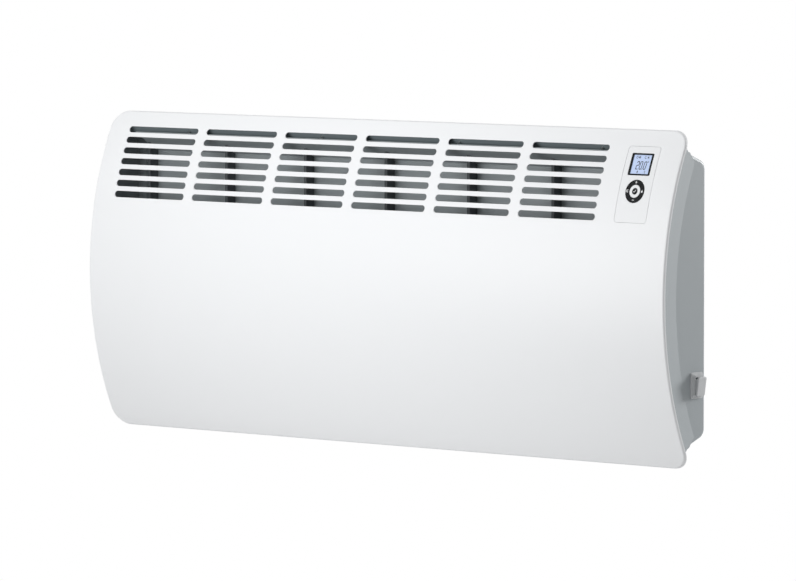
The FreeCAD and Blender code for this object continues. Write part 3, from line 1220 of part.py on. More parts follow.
def board_screws():
    seat = from_front(BOARD_DEPTH + BOARD_SHEET + 2 * HEAD_LIFT)
    seats = [screw(vec(x, seat, z), Y_AXIS * -1, 1.0 - SLIP, 6.0, 2.2, 1.4)
             for x, z in board_post_sites()]
    return at_keys(Part.makeCompound(seats))


def control_chip():
    """Processor and ribbon socket on the back of the control board."""
    back = BOARD_DEPTH + BOARD_SHEET + 0.1
    chip = block(FASCIA_X - 8, FASCIA_X + 8, from_front(back), from_front(back + 1.8), -6, 10)
    socket = block(FASCIA_X - 14, FASCIA_X + 14, from_front(back), from_front(back + 6.0), 24, 31)
    return at_keys(Part.makeCompound([chip, socket]))


# ---- rocker switch -------------------------------------------------------------------------
def switch_frame():
    """Stepped bezel on the cap and the hollow body behind it."""
    steps = [plate_yz(rectangle(w, h, 2.5, SWITCH_Y, SWITCH_Z), CAP_X + 0.05, CAP_X + rise)
             for w, h, rise in SWITCH_STEPS]
    depth, height, length = SWITCH_BODY
    body = plate_yz(rectangle(depth, height, 1.0, SWITCH_Y, SWITCH_Z), CAP_X - length, CAP_X + 0.2)
    well = plate_yz(rectangle(ROCKER_SIZE[0] - 1.2, ROCKER_SIZE[1] - 3.4, 1.0, SWITCH_Y, SWITCH_Z),
                    CAP_X - length + 2.0, CAP_X + 10.0)
    pin_length = SWITCH_STEPS[0][0] - 2 * PIN_INSET
    pin = rod(vec(PIVOT_X, SWITCH_Y - pin_length / 2, SWITCH_Z), Y_AXIS, PIN_R + SLIP, pin_length)
    return fuse(steps + [body]).cut([well, pin])


def switch_pin():
    length = SWITCH_STEPS[0][0] - 2 * PIN_INSET - 0.2
    return rod(vec(PIVOT_X, SWITCH_Y - length / 2, SWITCH_Z), Y_AXIS, PIN_R, length)


def switch_rocker():
    """Rocker drawn level, then tilted to its rest."""
    width, height, thick = ROCKER_SIZE
    face = PIVOT_X + ROCKER_REACH
    paddle = plate_yz(rectangle(width, height, 2.0, SWITCH_Y, SWITCH_Z), face - thick, face)
    rim = [e for e in paddle.Edges if on_plane(e, vec(face, 0, 0), X_AXIS)]
    paddle = paddle.makeFillet(0.8, rim)
    stem = plate_yz(rectangle(width - 2.4, 17.0, 1.0, SWITCH_Y, SWITCH_Z), PIVOT_X - 3.0, face - thick)
    nose = plate_xz([(PIVOT_X - 7.0, SWITCH_Z - 2.5, 1.5), (PIVOT_X - 2.0, SWITCH_Z - 2.5, 0),
                     (PIVOT_X - 2.0, SWITCH_Z + 2.5, 0), (PIVOT_X - 7.0, SWITCH_Z + 2.5, 1.5)],
                    SWITCH_Y - 2.5, SWITCH_Y + 2.5)
    rocker = fuse([paddle, stem, nose])
    rocker = rocker.cut(rod(vec(PIVOT_X, SWITCH_Y - 15, SWITCH_Z), Y_AXIS, PIN_R + RUN_FIT, 30))
    rocker.rotate(vec(PIVOT_X, SWITCH_Y, SWITCH_Z), Y_AXIS, ROCKER_TILT)
    return rocker


def switch_terminals():
    x = CAP_X - SWITCH_BODY[2]
    return Part.makeCompound([block(x - 9.0, x - 0.05, SWITCH_Y + side * 5 - 0.4, SWITCH_Y + side * 5 + 0.4,
                                    SWITCH_Z + dz - 3, SWITCH_Z + dz + 3)
                              for side in (-1, 1) for dz in (-8, 8)])


# ---- the whole heater ----------------------------------------------------------------------
def all_parts():
    right_cap = side_cap()
    cap_fixings = cap_screws()
    parts = {
        "wall_bracket": wall_bracket(),
        "lock_lever_left": lock(-BRACKET_X),
        "lock_lever_right": lock(BRACKET_X),
        "front_panel": front_panel(),
        "side_cap_right": right_cap.cut(switch_opening()),
        "side_cap_left": mirrored(right_cap),
        "casing_screws": Part.makeCompound(panel_screws() + rear_screws() + intake_screws() + cap_fixings
                                           + [mirrored(fixing) for fixing in cap_fixings]),
        "rear_tray": rear_tray(),
        "intake_grille": intake_grille(),
        "wall_bumpers": wall_bumpers(),
        "bulkhead": bulkhead(),
        "wire_grommet": grommet(),
        "air_guide": air_guide(),
        "guide_ribs": guide_ribs(),
        "element_fins": element_fins(),
        "element_tube": element_tube(),
        "element_terminals": element_terminals(),
        "thermal_cutout": thermal_cutout(),
        "fan_scroll": fan_scroll(),
        "fan_tongue": fan_tongue(),
        "fan_bush": left_bush(),
        "fan_impeller": fan_impeller(),
        "fan_shaft": fan_shaft(),
        "motor_rotor": motor_rotor(),
        "motor_stator": motor_stator(),
        "motor_coil": motor_coil(),
        "motor_strap": motor_strap(),
        "motor_mounts": motor_mounts(),
        "motor_screws": motor_screws(),
        "cable_gland": cable_gland(),
        "gland_nut": gland_nut(),
        "terminal_block": terminal_block(),
        "room_sensor": room_sensor(),
        "power_board": power_board(),
        "board_spacers": board_spacers(),
        "power_parts": Part.makeCompound(relays() + capacitors() + [transformer()]),
        "control_fascia": control_fascia(),
        "display_frame": display_frame(),
        "lcd_glass": lcd_plate(*LCD_DEPTHS[:2]),
        "lcd_backlight": lcd_plate(*LCD_DEPTHS[2:]),
        "control_board": control_board(),
        "control_chip": control_chip(),
        "board_screws": board_screws(),
        "key_switches": key_switches(),
        "key_carrier": key_carrier(),
        "key_ok": ok_key(),
        "switch_frame": switch_frame(),
        "switch_pin": switch_pin(),
        "switch_rocker": switch_rocker(),
        "switch_terminals": switch_terminals(),
    }
    for index, name in enumerate(("plus", "minus", "menu", "mode")):
        parts["key_" + name] = ring_key(index)
    for (x, side), name in zip(carrier_places(), ("left", "right")):
        parts["element_plate_" + name] = carrier_plate(x, side)
    for (x, side), name in zip(end_plate_places(), ("left", "right")):
        parts["fan_plate_" + name] = fan_end_plate(x, side)
    return parts


os.makedirs("parts", exist_ok=True)
for name, shape in all_parts().items():
    shape.exportStep("parts/" + name + ".step")
    print(name, len(shape.Solids), round(shape.Volume, 1), shape.isValid())
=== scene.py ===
import bpy
import bmesh
import json
import math
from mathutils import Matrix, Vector


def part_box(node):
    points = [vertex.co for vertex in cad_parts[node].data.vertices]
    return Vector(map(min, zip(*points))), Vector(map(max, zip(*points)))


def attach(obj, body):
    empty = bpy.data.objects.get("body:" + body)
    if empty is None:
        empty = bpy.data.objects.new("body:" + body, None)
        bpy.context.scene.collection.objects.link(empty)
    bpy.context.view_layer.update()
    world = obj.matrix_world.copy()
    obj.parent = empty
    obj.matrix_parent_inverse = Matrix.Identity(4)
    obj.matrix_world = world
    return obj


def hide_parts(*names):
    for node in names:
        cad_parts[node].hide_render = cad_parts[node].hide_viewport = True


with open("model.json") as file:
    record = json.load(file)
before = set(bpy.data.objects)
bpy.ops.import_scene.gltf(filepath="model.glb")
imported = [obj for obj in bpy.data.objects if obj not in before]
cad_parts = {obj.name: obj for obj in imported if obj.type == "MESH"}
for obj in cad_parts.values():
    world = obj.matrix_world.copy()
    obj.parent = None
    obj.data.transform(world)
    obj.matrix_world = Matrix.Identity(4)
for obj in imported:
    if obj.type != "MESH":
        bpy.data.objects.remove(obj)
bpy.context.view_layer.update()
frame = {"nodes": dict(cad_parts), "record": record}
print("frame loaded:", len(frame["nodes"]), "nodes")

mm = 0.001
weld = 1e-6       # points nearer than this are one point
onPlane = 1e-7    # points nearer than this lie on a cutting plane

# sizes of the bowed front that several pieces share, taken from the frame where it gives them
panelLow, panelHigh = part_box("front_panel")
bow = {
    "radius": 482 * mm,
    "frontY": panelLow.y,
    "halfWidth": panelHigh.x,
    "halfHeight": panelHigh.z,
    "sheet": 1.2 * mm,
}
bow["edgeS"] = bow["radius"] * math.asin(bow["halfHeight"] / bow["radius"])
bow["axisY"] = bow["frontY"] + bow["radius"]


def onBow(x, up, depth, s):
    turn = s / bow["radius"]
    back = bow["frontY"] + depth - bow["axisY"]
    y = bow["axisY"] + back * math.cos(turn) + up * math.sin(turn)
    z = -back * math.sin(turn) + up * math.cos(turn)
    return Vector((x, y, z))


def addNode(tree, kind, props=None, ins=None):
    node = tree.nodes.new(kind)
    for key, value in (props or {}).items():
        setattr(node, key, value)
    for key, value in (ins or {}).items():
        if isinstance(value, bpy.types.NodeSocket):
            tree.links.new(value, node.inputs[key])
        else:
            node.inputs[key].default_value = value
    return node


def calc(tree, operation, a, b=0.0):
    return addNode(tree, "ShaderNodeMath", {"operation": operation}, {0: a, 1: b}).outputs[0]


# shader groups shared by the finishes
texture = {
    "patchShare": 0.013,     # scale of the broad patches, as a share of the fine grain's
    "lineShare": 20.0,
    "bumpReach": 0.2 * mm,
    "dustShare": 0.45,
    "dustTone": 0.62,
    "dustRough": 0.3,
    "coatRough": 0.08,
    "metalRough": 0.15,
    "cellEdge": 0.42,
}


def newGroup(name, inputs, outputs):
    group = bpy.data.node_groups.new(name, "ShaderNodeTree")
    for label, default in inputs.items():
        socket = group.interface.new_socket(label, in_out="INPUT", socket_type="NodeSocketFloat")
        socket.default_value = default
    for label in outputs:
        group.interface.new_socket(label, in_out="OUTPUT", socket_type="NodeSocketFloat")
    start = group.nodes.new("NodeGroupInput")
    end = group.nodes.new("NodeGroupOutput")
    place = group.nodes.new("ShaderNodeTexCoord").outputs["Object"]
    return group, start, end, place


def makeGrainGroup():
    group, start, end, place = newGroup("surfaceGrain", {"Scale": 900.0, "Spread": 0.05},
                                        ["Height", "Rough Shift"])
    fine = addNode(group, "ShaderNodeTexNoise", None, {"Vector": place, "Scale": start.outputs["Scale"],
                                                       "Detail": 2.0, "Roughness": 0.5})
    patches = calc(group, "MULTIPLY", start.outputs["Scale"], texture["patchShare"])
    broad = addNode(group, "ShaderNodeTexNoise", None, {"Vector": place, "Scale": patches, "Detail": 3.0})
    centred = calc(group, "SUBTRACT", broad.outputs["Fac"], 0.5)
    shift = calc(group, "MULTIPLY", centred, start.outputs["Spread"])
    group.links.new(fine.outputs["Fac"], end.inputs["Height"])
    group.links.new(shift, end.inputs["Rough Shift"])
    return group


def makeBrushGroup():
    group, start, end, place = newGroup("rolledMetal", {"Scale": 60.0, "Stretch": 0.04}, ["Height", "Tone"])
    squeeze = addNode(group, "ShaderNodeCombineXYZ", None,
                      {"X": start.outputs["Stretch"], "Y": 1.0, "Z": 1.0})
    drawn = addNode(group, "ShaderNodeVectorMath", {"operation": "MULTIPLY"},
                    {0: place, 1: squeeze.outputs[0]})
    close = calc(group, "MULTIPLY", start.outputs["Scale"], texture["lineShare"])
    lines = addNode(group, "ShaderNodeTexNoise", None,
                    {"Vector": drawn.outputs[0], "Scale": close, "Detail": 4.0})
    flakes = addNode(group, "ShaderNodeTexVoronoi", None, {"Vector": place, "Scale": start.outputs["Scale"]})
    tone = calc(group, "ADD", calc(group, "MULTIPLY", flakes.outputs["Distance"], 0.5),
                calc(group, "MULTIPLY", lines.outputs["Fac"], 0.5))
    group.links.new(lines.outputs["Fac"], end.inputs["Height"])
    group.links.new(tone, end.inputs["Tone"])
    return group


def makeDustGroup():
    group, start, end, place = newGroup("settledDust", {"Amount": 0.2, "Scale": 40.0}, ["Mask"])
    normal = group.nodes.new("ShaderNodeNewGeometry").outputs["Normal"]
    up = addNode(group, "ShaderNodeSeparateXYZ", None, {0: normal}).outputs["Z"]
    patch = addNode(group, "ShaderNodeTexNoise", None,
                    {"Vector": place, "Scale": start.outputs["Scale"], "Detail": 5.0})
    facing = addNode(group, "ShaderNodeMath", {"operation": "MULTIPLY", "use_clamp": True},
                     {0: up, 1: patch.outputs["Fac"]})
    group.links.new(calc(group, "MULTIPLY", facing.outputs[0], start.outputs["Amount"]), end.inputs["Mask"])
    return group


grainGroup = makeGrainGroup()
brushGroup = makeBrushGroup()
dustGroup = makeDustGroup()


def newMaterial(name):
    material = bpy.data.materials.new(name)
    material.use_nodes = True
    tree = material.node_tree
    shader = tree.nodes["Principled BSDF"]
    return material, tree, shader


def useGroup(tree, group, values):
    return addNode(tree, "ShaderNodeGroup", {"node_tree": group}, values)


def bumpInto(tree, shader, height, strength):
    bump = addNode(tree, "ShaderNodeBump", None,
                   {"Strength": strength, "Distance": texture["bumpReach"], "Height": height})
    tree.links.new(bump.outputs["Normal"], shader.inputs["Normal"])


def mixInto(tree, shader, mask, plain, other):
    mix = addNode(tree, "ShaderNodeMix", {"data_type": "RGBA"}, {"Factor": mask})
    mix.inputs[6].default_value = (*plain, 1)
    mix.inputs[7].default_value = (*other, 1)
    tree.links.new(mix.outputs[2], shader.inputs["Base Color"])


def coatedFinish(name, colour, rough, grain=900.0, bump=0.06, spread=0.06, dust=0.10, coat=0.0,
                 specular=0.5):
    material, tree, shader = newMaterial(name)
    surface = useGroup(tree, grainGroup, {"Scale": grain, "Spread": spread})
    dusty = useGroup(tree, dustGroup, {"Amount": dust})
    share = texture["dustShare"]
    pale = tuple((1 - share) * c + share * texture["dustTone"] for c in colour)
    mixInto(tree, shader, dusty.outputs["Mask"], colour, pale)
    uneven = calc(tree, "ADD", surface.outputs["Rough Shift"], rough)
    dull = calc(tree, "MULTIPLY", dusty.outputs["Mask"], texture["dustRough"])
    tree.links.new(calc(tree, "ADD", uneven, dull), shader.inputs["Roughness"])
    bumpInto(tree, shader, surface.outputs["Height"], bump)
    shader.inputs["Specular IOR Level"].default_value = specular
    shader.inputs["Coat Weight"].default_value = coat
    shader.inputs["Coat Roughness"].default_value = texture["coatRough"]
    return material


def metalFinish(name, colour, rough, scale=60.0, contrast=0.25, bump=0.05, stretch=0.04):
    material, tree, shader = newMaterial(name)
    surface = useGroup(tree, brushGroup, {"Scale": scale, "Stretch": stretch})
    dark = tuple(c * (1 - contrast) for c in colour)
    mixInto(tree, shader, surface.outputs["Tone"], dark, colour)
    uneven = calc(tree, "MULTIPLY", surface.outputs["Tone"], texture["metalRough"])
    tree.links.new(calc(tree, "ADD", uneven, rough), shader.inputs["Roughness"])
    bumpInto(tree, shader, surface.outputs["Height"], bump)
    shader.inputs["Metallic"].default_value = 1.0
    return material


def glassFinish(name, colour):
    material, tree, shader = newMaterial(name)
    surface = useGroup(tree, grainGroup, {"Scale": 2500.0, "Spread": 0.04})
    mixInto(tree, shader, surface.outputs["Height"], colour, tuple(min(1.0, c * 1.06) for c in colour))
    tree.links.new(calc(tree, "ADD", surface.outputs["Rough Shift"], 0.12), shader.inputs["Roughness"])
    shader.inputs["Emission Color"].default_value = (*colour, 1)
    shader.inputs["Emission Strength"].default_value = 0.12
    shader.inputs["Coat Weight"].default_value = 0.25
    return material


def meshPattern(tree, shader, colour, gap, scale):
    place = tree.nodes.new("ShaderNodeTexCoord").outputs["Object"]
    cells = addNode(tree, "ShaderNodeTexVoronoi", {"distance": "CHEBYCHEV"},
                    {"Vector": place, "Scale": scale})
    edge = calc(tree, "GREATER_THAN", cells.outputs["Distance"], texture["cellEdge"])
    mixInto(tree, shader, edge, colour, gap)


def boardFinish(name, colour):
    material, tree, shader = newMaterial(name)
    meshPattern(tree, shader, colour, tuple(c * 1.9 for c in colour), 320.0)
    shader.inputs["Roughness"].default_value = 0.38
    shader.inputs["Coat Weight"].default_value = 0.4
    return material


finishes = {
    "white_panel": coatedFinish("whitePanelPaint", (0.82, 0.832, 0.845), 0.40, 1400.0, 0.05, 0.05, 0.03),
    "white_fascia": coatedFinish("whiteFasciaPlastic", (0.80, 0.812, 0.825), 0.40, 2600.0, 0.03, 0.04, 0.03),
    "grey_casing": coatedFinish("greyCapPlastic", (0.37, 0.403, 0.42), 0.46, 1800.0, 0.16, 0.07, 0.08),
    "grey_tray": coatedFinish("greyTrayPaint", (0.20, 0.235, 0.25), 0.48, 1300.0, 0.08, 0.06, 0.10),
    # the ribs' dark paint is painted shade: it stands in for the shadows of the bridges between slot columns
    "dark_sheet": coatedFinish("paintedShadeRibPaint", (0.10, 0.112, 0.118), 0.5, 1300.0, 0.08, 0.06, 0.10),
    "light_grey_plastic": coatedFinish("paleSwitchPlastic", (0.60, 0.615, 0.625), 0.42, 2200.0, 0.12,
                                       0.05, 0.05),
    "black_plastic": coatedFinish("blackPlastic", (0.022, 0.022, 0.024), 0.45, 2000.0, 0.14, 0.06, 0.10),
    "black_gloss": coatedFinish("blackKeyPlastic", (0.010, 0.011, 0.012), 0.46, 3000.0, 0.03, 0.05, 0.02,
                                0.0, 0.12),
    "ivory_plastic": coatedFinish("ivoryPlastic", (0.62, 0.59, 0.50), 0.45, 1800.0, 0.10, 0.06, 0.08),
    "rubber": coatedFinish("blackRubber", (0.02, 0.02, 0.02), 0.72, 1500.0, 0.25, 0.08, 0.18),
    "ceramic_bead": coatedFinish("ceramicBead", (0.72, 0.69, 0.62), 0.5, 900.0, 0.12, 0.08, 0.05),
    "copper_coil": coatedFinish("enamelledCopper", (0.42, 0.14, 0.045), 0.28, 700.0, 0.3, 0.08, 0.05, 0.4),
    "galvanised_steel": metalFinish("galvanisedSteel", (0.56, 0.58, 0.60), 0.30, 70.0, 0.35),
    "zinc_screw": metalFinish("zincScrew", (0.66, 0.67, 0.66), 0.24, 400.0, 0.2),
    "aluminium_fin": metalFinish("aluminiumFin", (0.72, 0.73, 0.74), 0.28, 160.0, 0.2),
    "steel_tube": metalFinish("steelTube", (0.46, 0.45, 0.43), 0.30, 200.0, 0.3),
    "bronze_bush": metalFinish("bronzeBush", (0.50, 0.35, 0.17), 0.38, 600.0, 0.3),
    "dark_steel": metalFinish("laminatedSteel", (0.20, 0.21, 0.23), 0.42, 300.0, 0.3, 0.2, 3.0),
    "brass_tag": metalFinish("brassTag", (0.66, 0.50, 0.22), 0.28, 500.0, 0.2),
    "lcd_glass": glassFinish("displayFace", (0.48, 0.58, 0.80)),
    "green_board": boardFinish("circuitBoard", (0.012, 0.09, 0.035)),
}
inkWhite = coatedFinish("whiteKeyPrint", (0.80, 0.81, 0.82), 0.4, 3000.0, 0.02, 0.03, 0.02)
inkGrey = coatedFinish("displaySegment", (0.03, 0.035, 0.05), 0.4, 3000.0, 0.02, 0.03, 0.0)

# painted light: the guide is painted paler than the tray's own grey, standing in for light that barely
# reaches it inside the casing
guideBrightenedFinish = coatedFinish("guidePaintedLightPaint", (0.36, 0.395, 0.41), 0.42, 1300.0, 0.06, 0.06, 0.06)
slotOf = {row["node"]: row["material_slot"] for row in frame["record"]["subparts"]}
bodies = frame["record"]["behaviour"]["bodies"]
bodyOf = {node: body for body, nodes in bodies.items() for node in nodes}


def paint(obj, finish):
    obj.data.materials.clear()
    obj.data.materials.append(finish)


for nodeName, obj in frame["nodes"].items():
    paint(obj, guideBrightenedFinish if nodeName == "air_guide" else finishes[slotOf[nodeName]])
print("finishes on", len(frame["nodes"]), "nodes")


# geometry node helpers
def newTree(name, inputs):
    tree = bpy.data.node_groups.new(name, "GeometryNodeTree")
    tree.interface.new_socket("Geometry", in_out="INPUT", socket_type="NodeSocketGeometry")
    for label, kind in inputs.items():
        tree.interface.new_socket(label, in_out="INPUT", socket_type="NodeSocket" + kind)
    tree.interface.new_socket("Geometry", in_out="OUTPUT", socket_type="NodeSocketGeometry")
    return tree, tree.nodes.new("NodeGroupInput"), tree.nodes.new("NodeGroupOutput")


def finishTree(tree, geometry, material, end):
    real = addNode(tree, "GeometryNodeRealizeInstances", None, {"Geometry": geometry})
    coated = addNode(tree, "GeometryNodeSetMaterial", None,
                     {"Geometry": real.outputs[0], "Material": material})
    tree.links.new(coated.outputs[0], end.inputs["Geometry"])


def bakeTree(mesh, name, tree, values):
    source = bpy.data.objects.new(name + "Source", mesh)
    bpy.context.scene.collection.objects.link(source)
    modifier = source.modifiers.new("nodes", "NODES")
    modifier.node_group = tree
    for item in tree.interface.items_tree:
        if item.in_out == "INPUT" and item.name in values:
            modifier[item.identifier] = values[item.name]
    bpy.context.view_layer.update()
    made = bpy.data.meshes.new_from_object(source.evaluated_get(bpy.context.evaluated_depsgraph_get()))
    source.modifiers.remove(modifier)
    bpy.data.objects.remove(source)
    piece = bpy.data.objects.new(name, made)
    bpy.context.scene.collection.objects.link(piece)
    return piece


def smoothBy(obj, degrees):
    obj.data.shade_smooth()
    obj.data.set_sharp_from_angle(angle=math.radians(degrees))


def meshObject(name, bm, finish):
    mesh = bpy.data.meshes.new(name)
    bm.to_mesh(mesh)
    bm.free()
    obj = bpy.data.objects.new(name, mesh)
    bpy.context.scene.collection.objects.link(obj)
    paint(obj, finish)
    return obj


def handIn(piece, body, slotName, *nodes):
    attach(piece, body)
    if nodes:
        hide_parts(*nodes)


# bowed front panel
front = {
    "corner": 27 * mm,
    "bend": 2.4 * mm,
    "return": 5 * mm,
    "lip": 0.3 * mm,          # chamfer on the return's outer edge
    "cornerSteps": 14,
    "bendSteps": 5,
    "strips": 72,
    "columns": 6,
    "rows": 7,
    "slotHeight": 9.4 * mm,
    "bridge": 16 * mm,
    "pitchS": 16.05 * mm,
    "leftMargin": 39.2 * mm,
    "rightMargin": 126.8 * mm,
    "topMargin": 28.5 * mm,
    "fasciaInset": 66.3 * mm,
    "fasciaTop": 24.7 * mm,
    "fasciaSize": (54 * mm, 105.4 * mm),
    "fasciaCorner": 4 * mm,
    "seam": 0.5 * mm,
    "cutReach": 3 * mm,
    "roundness": 0.4995,      # slot ends' radius, as a share of the slot's height
    "sharp": 24,
}
fasciaX = bow["halfWidth"] - front["fasciaInset"]
fasciaTopS = bow["edgeS"] - front["fasciaTop"]


def roundedRing(halfX, halfY, radius, steps):
    points = []
    for quarter, (sx, sy) in enumerate(((1, 1), (-1, 1), (-1, -1), (1, -1))):
        for i in range(steps + 1):
            angle = math.pi / 2 * (quarter + i / steps)
            points.append((sx * (halfX - radius) + radius * math.cos(angle),
                           sy * (halfY - radius) + radius * math.sin(angle)))
    return points


def flatDish():
    sheet, bend, deep = bow["sheet"], front["bend"], front["return"]
    profile = []   # inset from the edge and depth, outer face first
    for i in range(front["bendSteps"] + 1):
        angle = math.pi / 2 * i / front["bendSteps"]
        profile.append((bend - bend * math.sin(angle), bend - bend * math.cos(angle)))
    profile.append((0.0, deep - front["lip"]))
    profile.append((front["lip"], deep))
    profile.append((sheet, deep))
    inner = bend - sheet
    for i in range(front["bendSteps"] + 1):
        angle = math.pi / 2 * (1 - i / front["bendSteps"])
        profile.append((bend - inner * math.sin(angle), bend - inner * math.cos(angle)))
    bm = bmesh.new()
    rings = []
    for inset, depth in profile:
        ring = roundedRing(bow["halfWidth"] - inset, bow["edgeS"] - inset, front["corner"] - inset,
                           front["cornerSteps"])
        rings.append([bm.verts.new((x, y, depth)) for x, y in ring])
    count = len(rings[0])
    for a, b in zip(rings, rings[1:]):
        for i in range(count):
            bm.faces.new((a[i], b[i], b[(i + 1) % count], a[(i + 1) % count]))
    bm.faces.new(rings[0])
    bm.faces.new(rings[-1][::-1])
    for i in range(1, front["strips"]):
        y = -bow["edgeS"] + 2 * bow["edgeS"] * i / front["strips"]
        geometry = bm.verts[:] + bm.edges[:] + bm.faces[:]
        bmesh.ops.bisect_plane(bm, geom=geometry, dist=onPlane, plane_co=(0, y, 0), plane_no=(0, 1, 0))
    bmesh.ops.recalc_face_normals(bm, faces=bm.faces)
    mesh = bpy.data.meshes.new("flatDish")
    bm.to_mesh(mesh)
    bm.free()
    return mesh


def prismFrom(tree, width, height, radius, depth):
    outline = addNode(tree, "GeometryNodeCurvePrimitiveQuadrilateral", None,
                      {"Width": width, "Height": height})
    rounded = addNode(tree, "GeometryNodeFilletCurve", {"mode": "POLY"},
                      {"Curve": outline.outputs[0], "Radius": radius, "Count": 8})
    lowered = addNode(tree, "GeometryNodeTransform", None, {"Geometry": rounded.outputs[0],
                                                            "Translation": (0, 0, -depth)})
    return sheetFrom(tree, lowered.outputs[0], 2 * depth, "NGONS")


def sheetFrom(tree, outline, thick, fill="TRIANGLES"):
    filled = addNode(tree, "GeometryNodeFillCurve", {"mode": fill}, {0: outline})
    flipped = addNode(tree, "GeometryNodeFlipFaces", None, {0: filled.outputs[0]})
    walls = addNode(tree, "GeometryNodeExtrudeMesh", {"mode": "FACES"},
                    {"Mesh": filled.outputs[0], "Offset Scale": thick, "Individual": False})
    joined = addNode(tree, "GeometryNodeJoinGeometry")
    tree.links.new(flipped.outputs[0], joined.inputs[0])
    tree.links.new(walls.outputs["Mesh"], joined.inputs[0])
    merged = addNode(tree, "GeometryNodeMergeByDistance", None, {"Geometry": joined.outputs[0],
                                                                 "Distance": weld})
    return merged.outputs[0]


def slottedTree():
    tree, start, end = newTree("slottedBow", {
        "Columns": "Int", "Rows": "Int", "Pitch X": "Float", "Pitch S": "Float", "Slot Length": "Float",
        "Slot Height": "Float", "Middle": "Vector", "Opening Size": "Vector", "Opening Middle": "Vector",
        "Opening Corner": "Float", "Radius": "Float", "Axis Y": "Float", "Finish": "Material"})
    given = start.outputs
    radius = calc(tree, "MULTIPLY", given["Slot Height"], front["roundness"])
    slotShape = prismFrom(tree, given["Slot Length"], given["Slot Height"], radius, front["cutReach"])
    spanX = calc(tree, "MULTIPLY", calc(tree, "SUBTRACT", given["Columns"], 1.0), given["Pitch X"])
    spanS = calc(tree, "MULTIPLY", calc(tree, "SUBTRACT", given["Rows"], 1.0), given["Pitch S"])
    grid = addNode(tree, "GeometryNodeMeshGrid", None, {"Size X": spanX, "Size Y": spanS,
                                                        "Vertices X": given["Columns"],
                                                        "Vertices Y": given["Rows"]})
    placed = addNode(tree, "GeometryNodeTransform", None, {"Geometry": grid.outputs[0],
                                                           "Translation": given["Middle"]})
    slots = addNode(tree, "GeometryNodeInstanceOnPoints", None, {"Points": placed.outputs[0],
                                                                 "Instance": slotShape})
    realSlots = addNode(tree, "GeometryNodeRealizeInstances", None, {"Geometry": slots.outputs[0]})
    size = addNode(tree, "ShaderNodeSeparateXYZ", None, {0: given["Opening Size"]})
    opening = prismFrom(tree, size.outputs[0], size.outputs[1], given["Opening Corner"], front["cutReach"])
    moved = addNode(tree, "GeometryNodeTransform", None, {"Geometry": opening,
                                                          "Translation": given["Opening Middle"]})
    cutters = addNode(tree, "GeometryNodeJoinGeometry")
    tree.links.new(realSlots.outputs[0], cutters.inputs[0])
    tree.links.new(moved.outputs[0], cutters.inputs[0])
    cut = addNode(tree, "GeometryNodeMeshBoolean", {"operation": "DIFFERENCE", "solver": "EXACT"},
                  {"Mesh 1": given["Geometry"], "Mesh 2": cutters.outputs[0]})
    position = tree.nodes.new("GeometryNodeInputPosition").outputs[0]
    here = addNode(tree, "ShaderNodeSeparateXYZ", None, {0: position})
    turn = calc(tree, "DIVIDE", here.outputs[1], given["Radius"])
    reach = calc(tree, "SUBTRACT", given["Radius"], here.outputs[2])
    z = calc(tree, "MULTIPLY", given["Radius"], calc(tree, "SINE", turn))
    chord = calc(tree, "SUBTRACT", calc(tree, "MULTIPLY", reach, reach), calc(tree, "MULTIPLY", z, z))
    y = calc(tree, "SUBTRACT", given["Axis Y"], calc(tree, "SQRT", chord))
    bowed = addNode(tree, "ShaderNodeCombineXYZ", None, {0: here.outputs[0], 1: y, 2: z})
    bent = addNode(tree, "GeometryNodeSetPosition", None,
                   {"Geometry": cut.outputs[0], "Position": bowed.outputs[0]})
    finishTree(tree, bent.outputs[0], given["Finish"], end)
    return tree


def makeFrontPanel():
    slotSpan = 2 * bow["halfWidth"] - front["leftMargin"] - front["rightMargin"]
    pitchX = (slotSpan + front["bridge"]) / front["columns"]
    middleX = -bow["halfWidth"] + front["leftMargin"] + slotSpan / 2
    middleS = bow["edgeS"] - front["topMargin"] - (front["rows"] - 1) * front["pitchS"] / 2
    width, height = front["fasciaSize"]
    seam = front["seam"]
    panel = bakeTree(flatDish(), "frontPanelSheet", slottedTree(), {
        "Columns": front["columns"], "Rows": front["rows"], "Pitch X": pitchX, "Pitch S": front["pitchS"],
        "Slot Length": pitchX - front["bridge"], "Slot Height": front["slotHeight"],
        "Middle": (middleX, middleS, 0.0), "Opening Size": (width + 2 * seam, height + 2 * seam, 0.0),
        "Opening Middle": (fasciaX, fasciaTopS - height / 2, 0.0),
        "Opening Corner": front["fasciaCorner"] + seam, "Radius": bow["radius"], "Axis Y": bow["axisY"],
        "Finish": finishes["white_panel"]})
    bm = bmesh.new()
    bm.from_mesh(panel.data)
    bmesh.ops.remove_doubles(bm, verts=bm.verts, dist=weld)
    bmesh.ops.recalc_face_normals(bm, faces=bm.faces)
    bm.to_mesh(panel.data)
    bm.free()
    smoothBy(panel, front["sharp"])
    handIn(panel, "heater", "white_panel", "front_panel")
    print("front panel:", len(panel.data.polygons), "faces")
    return panel


# element's fins, each a pressed sheet with a collar round each tube
fins = {
    "pitch": 8 * mm,
    "sheet": 0.5 * mm,
    "corner": 3 * mm,
    "collar": 0.7 * mm,
    "slip": 0.05 * mm,
}


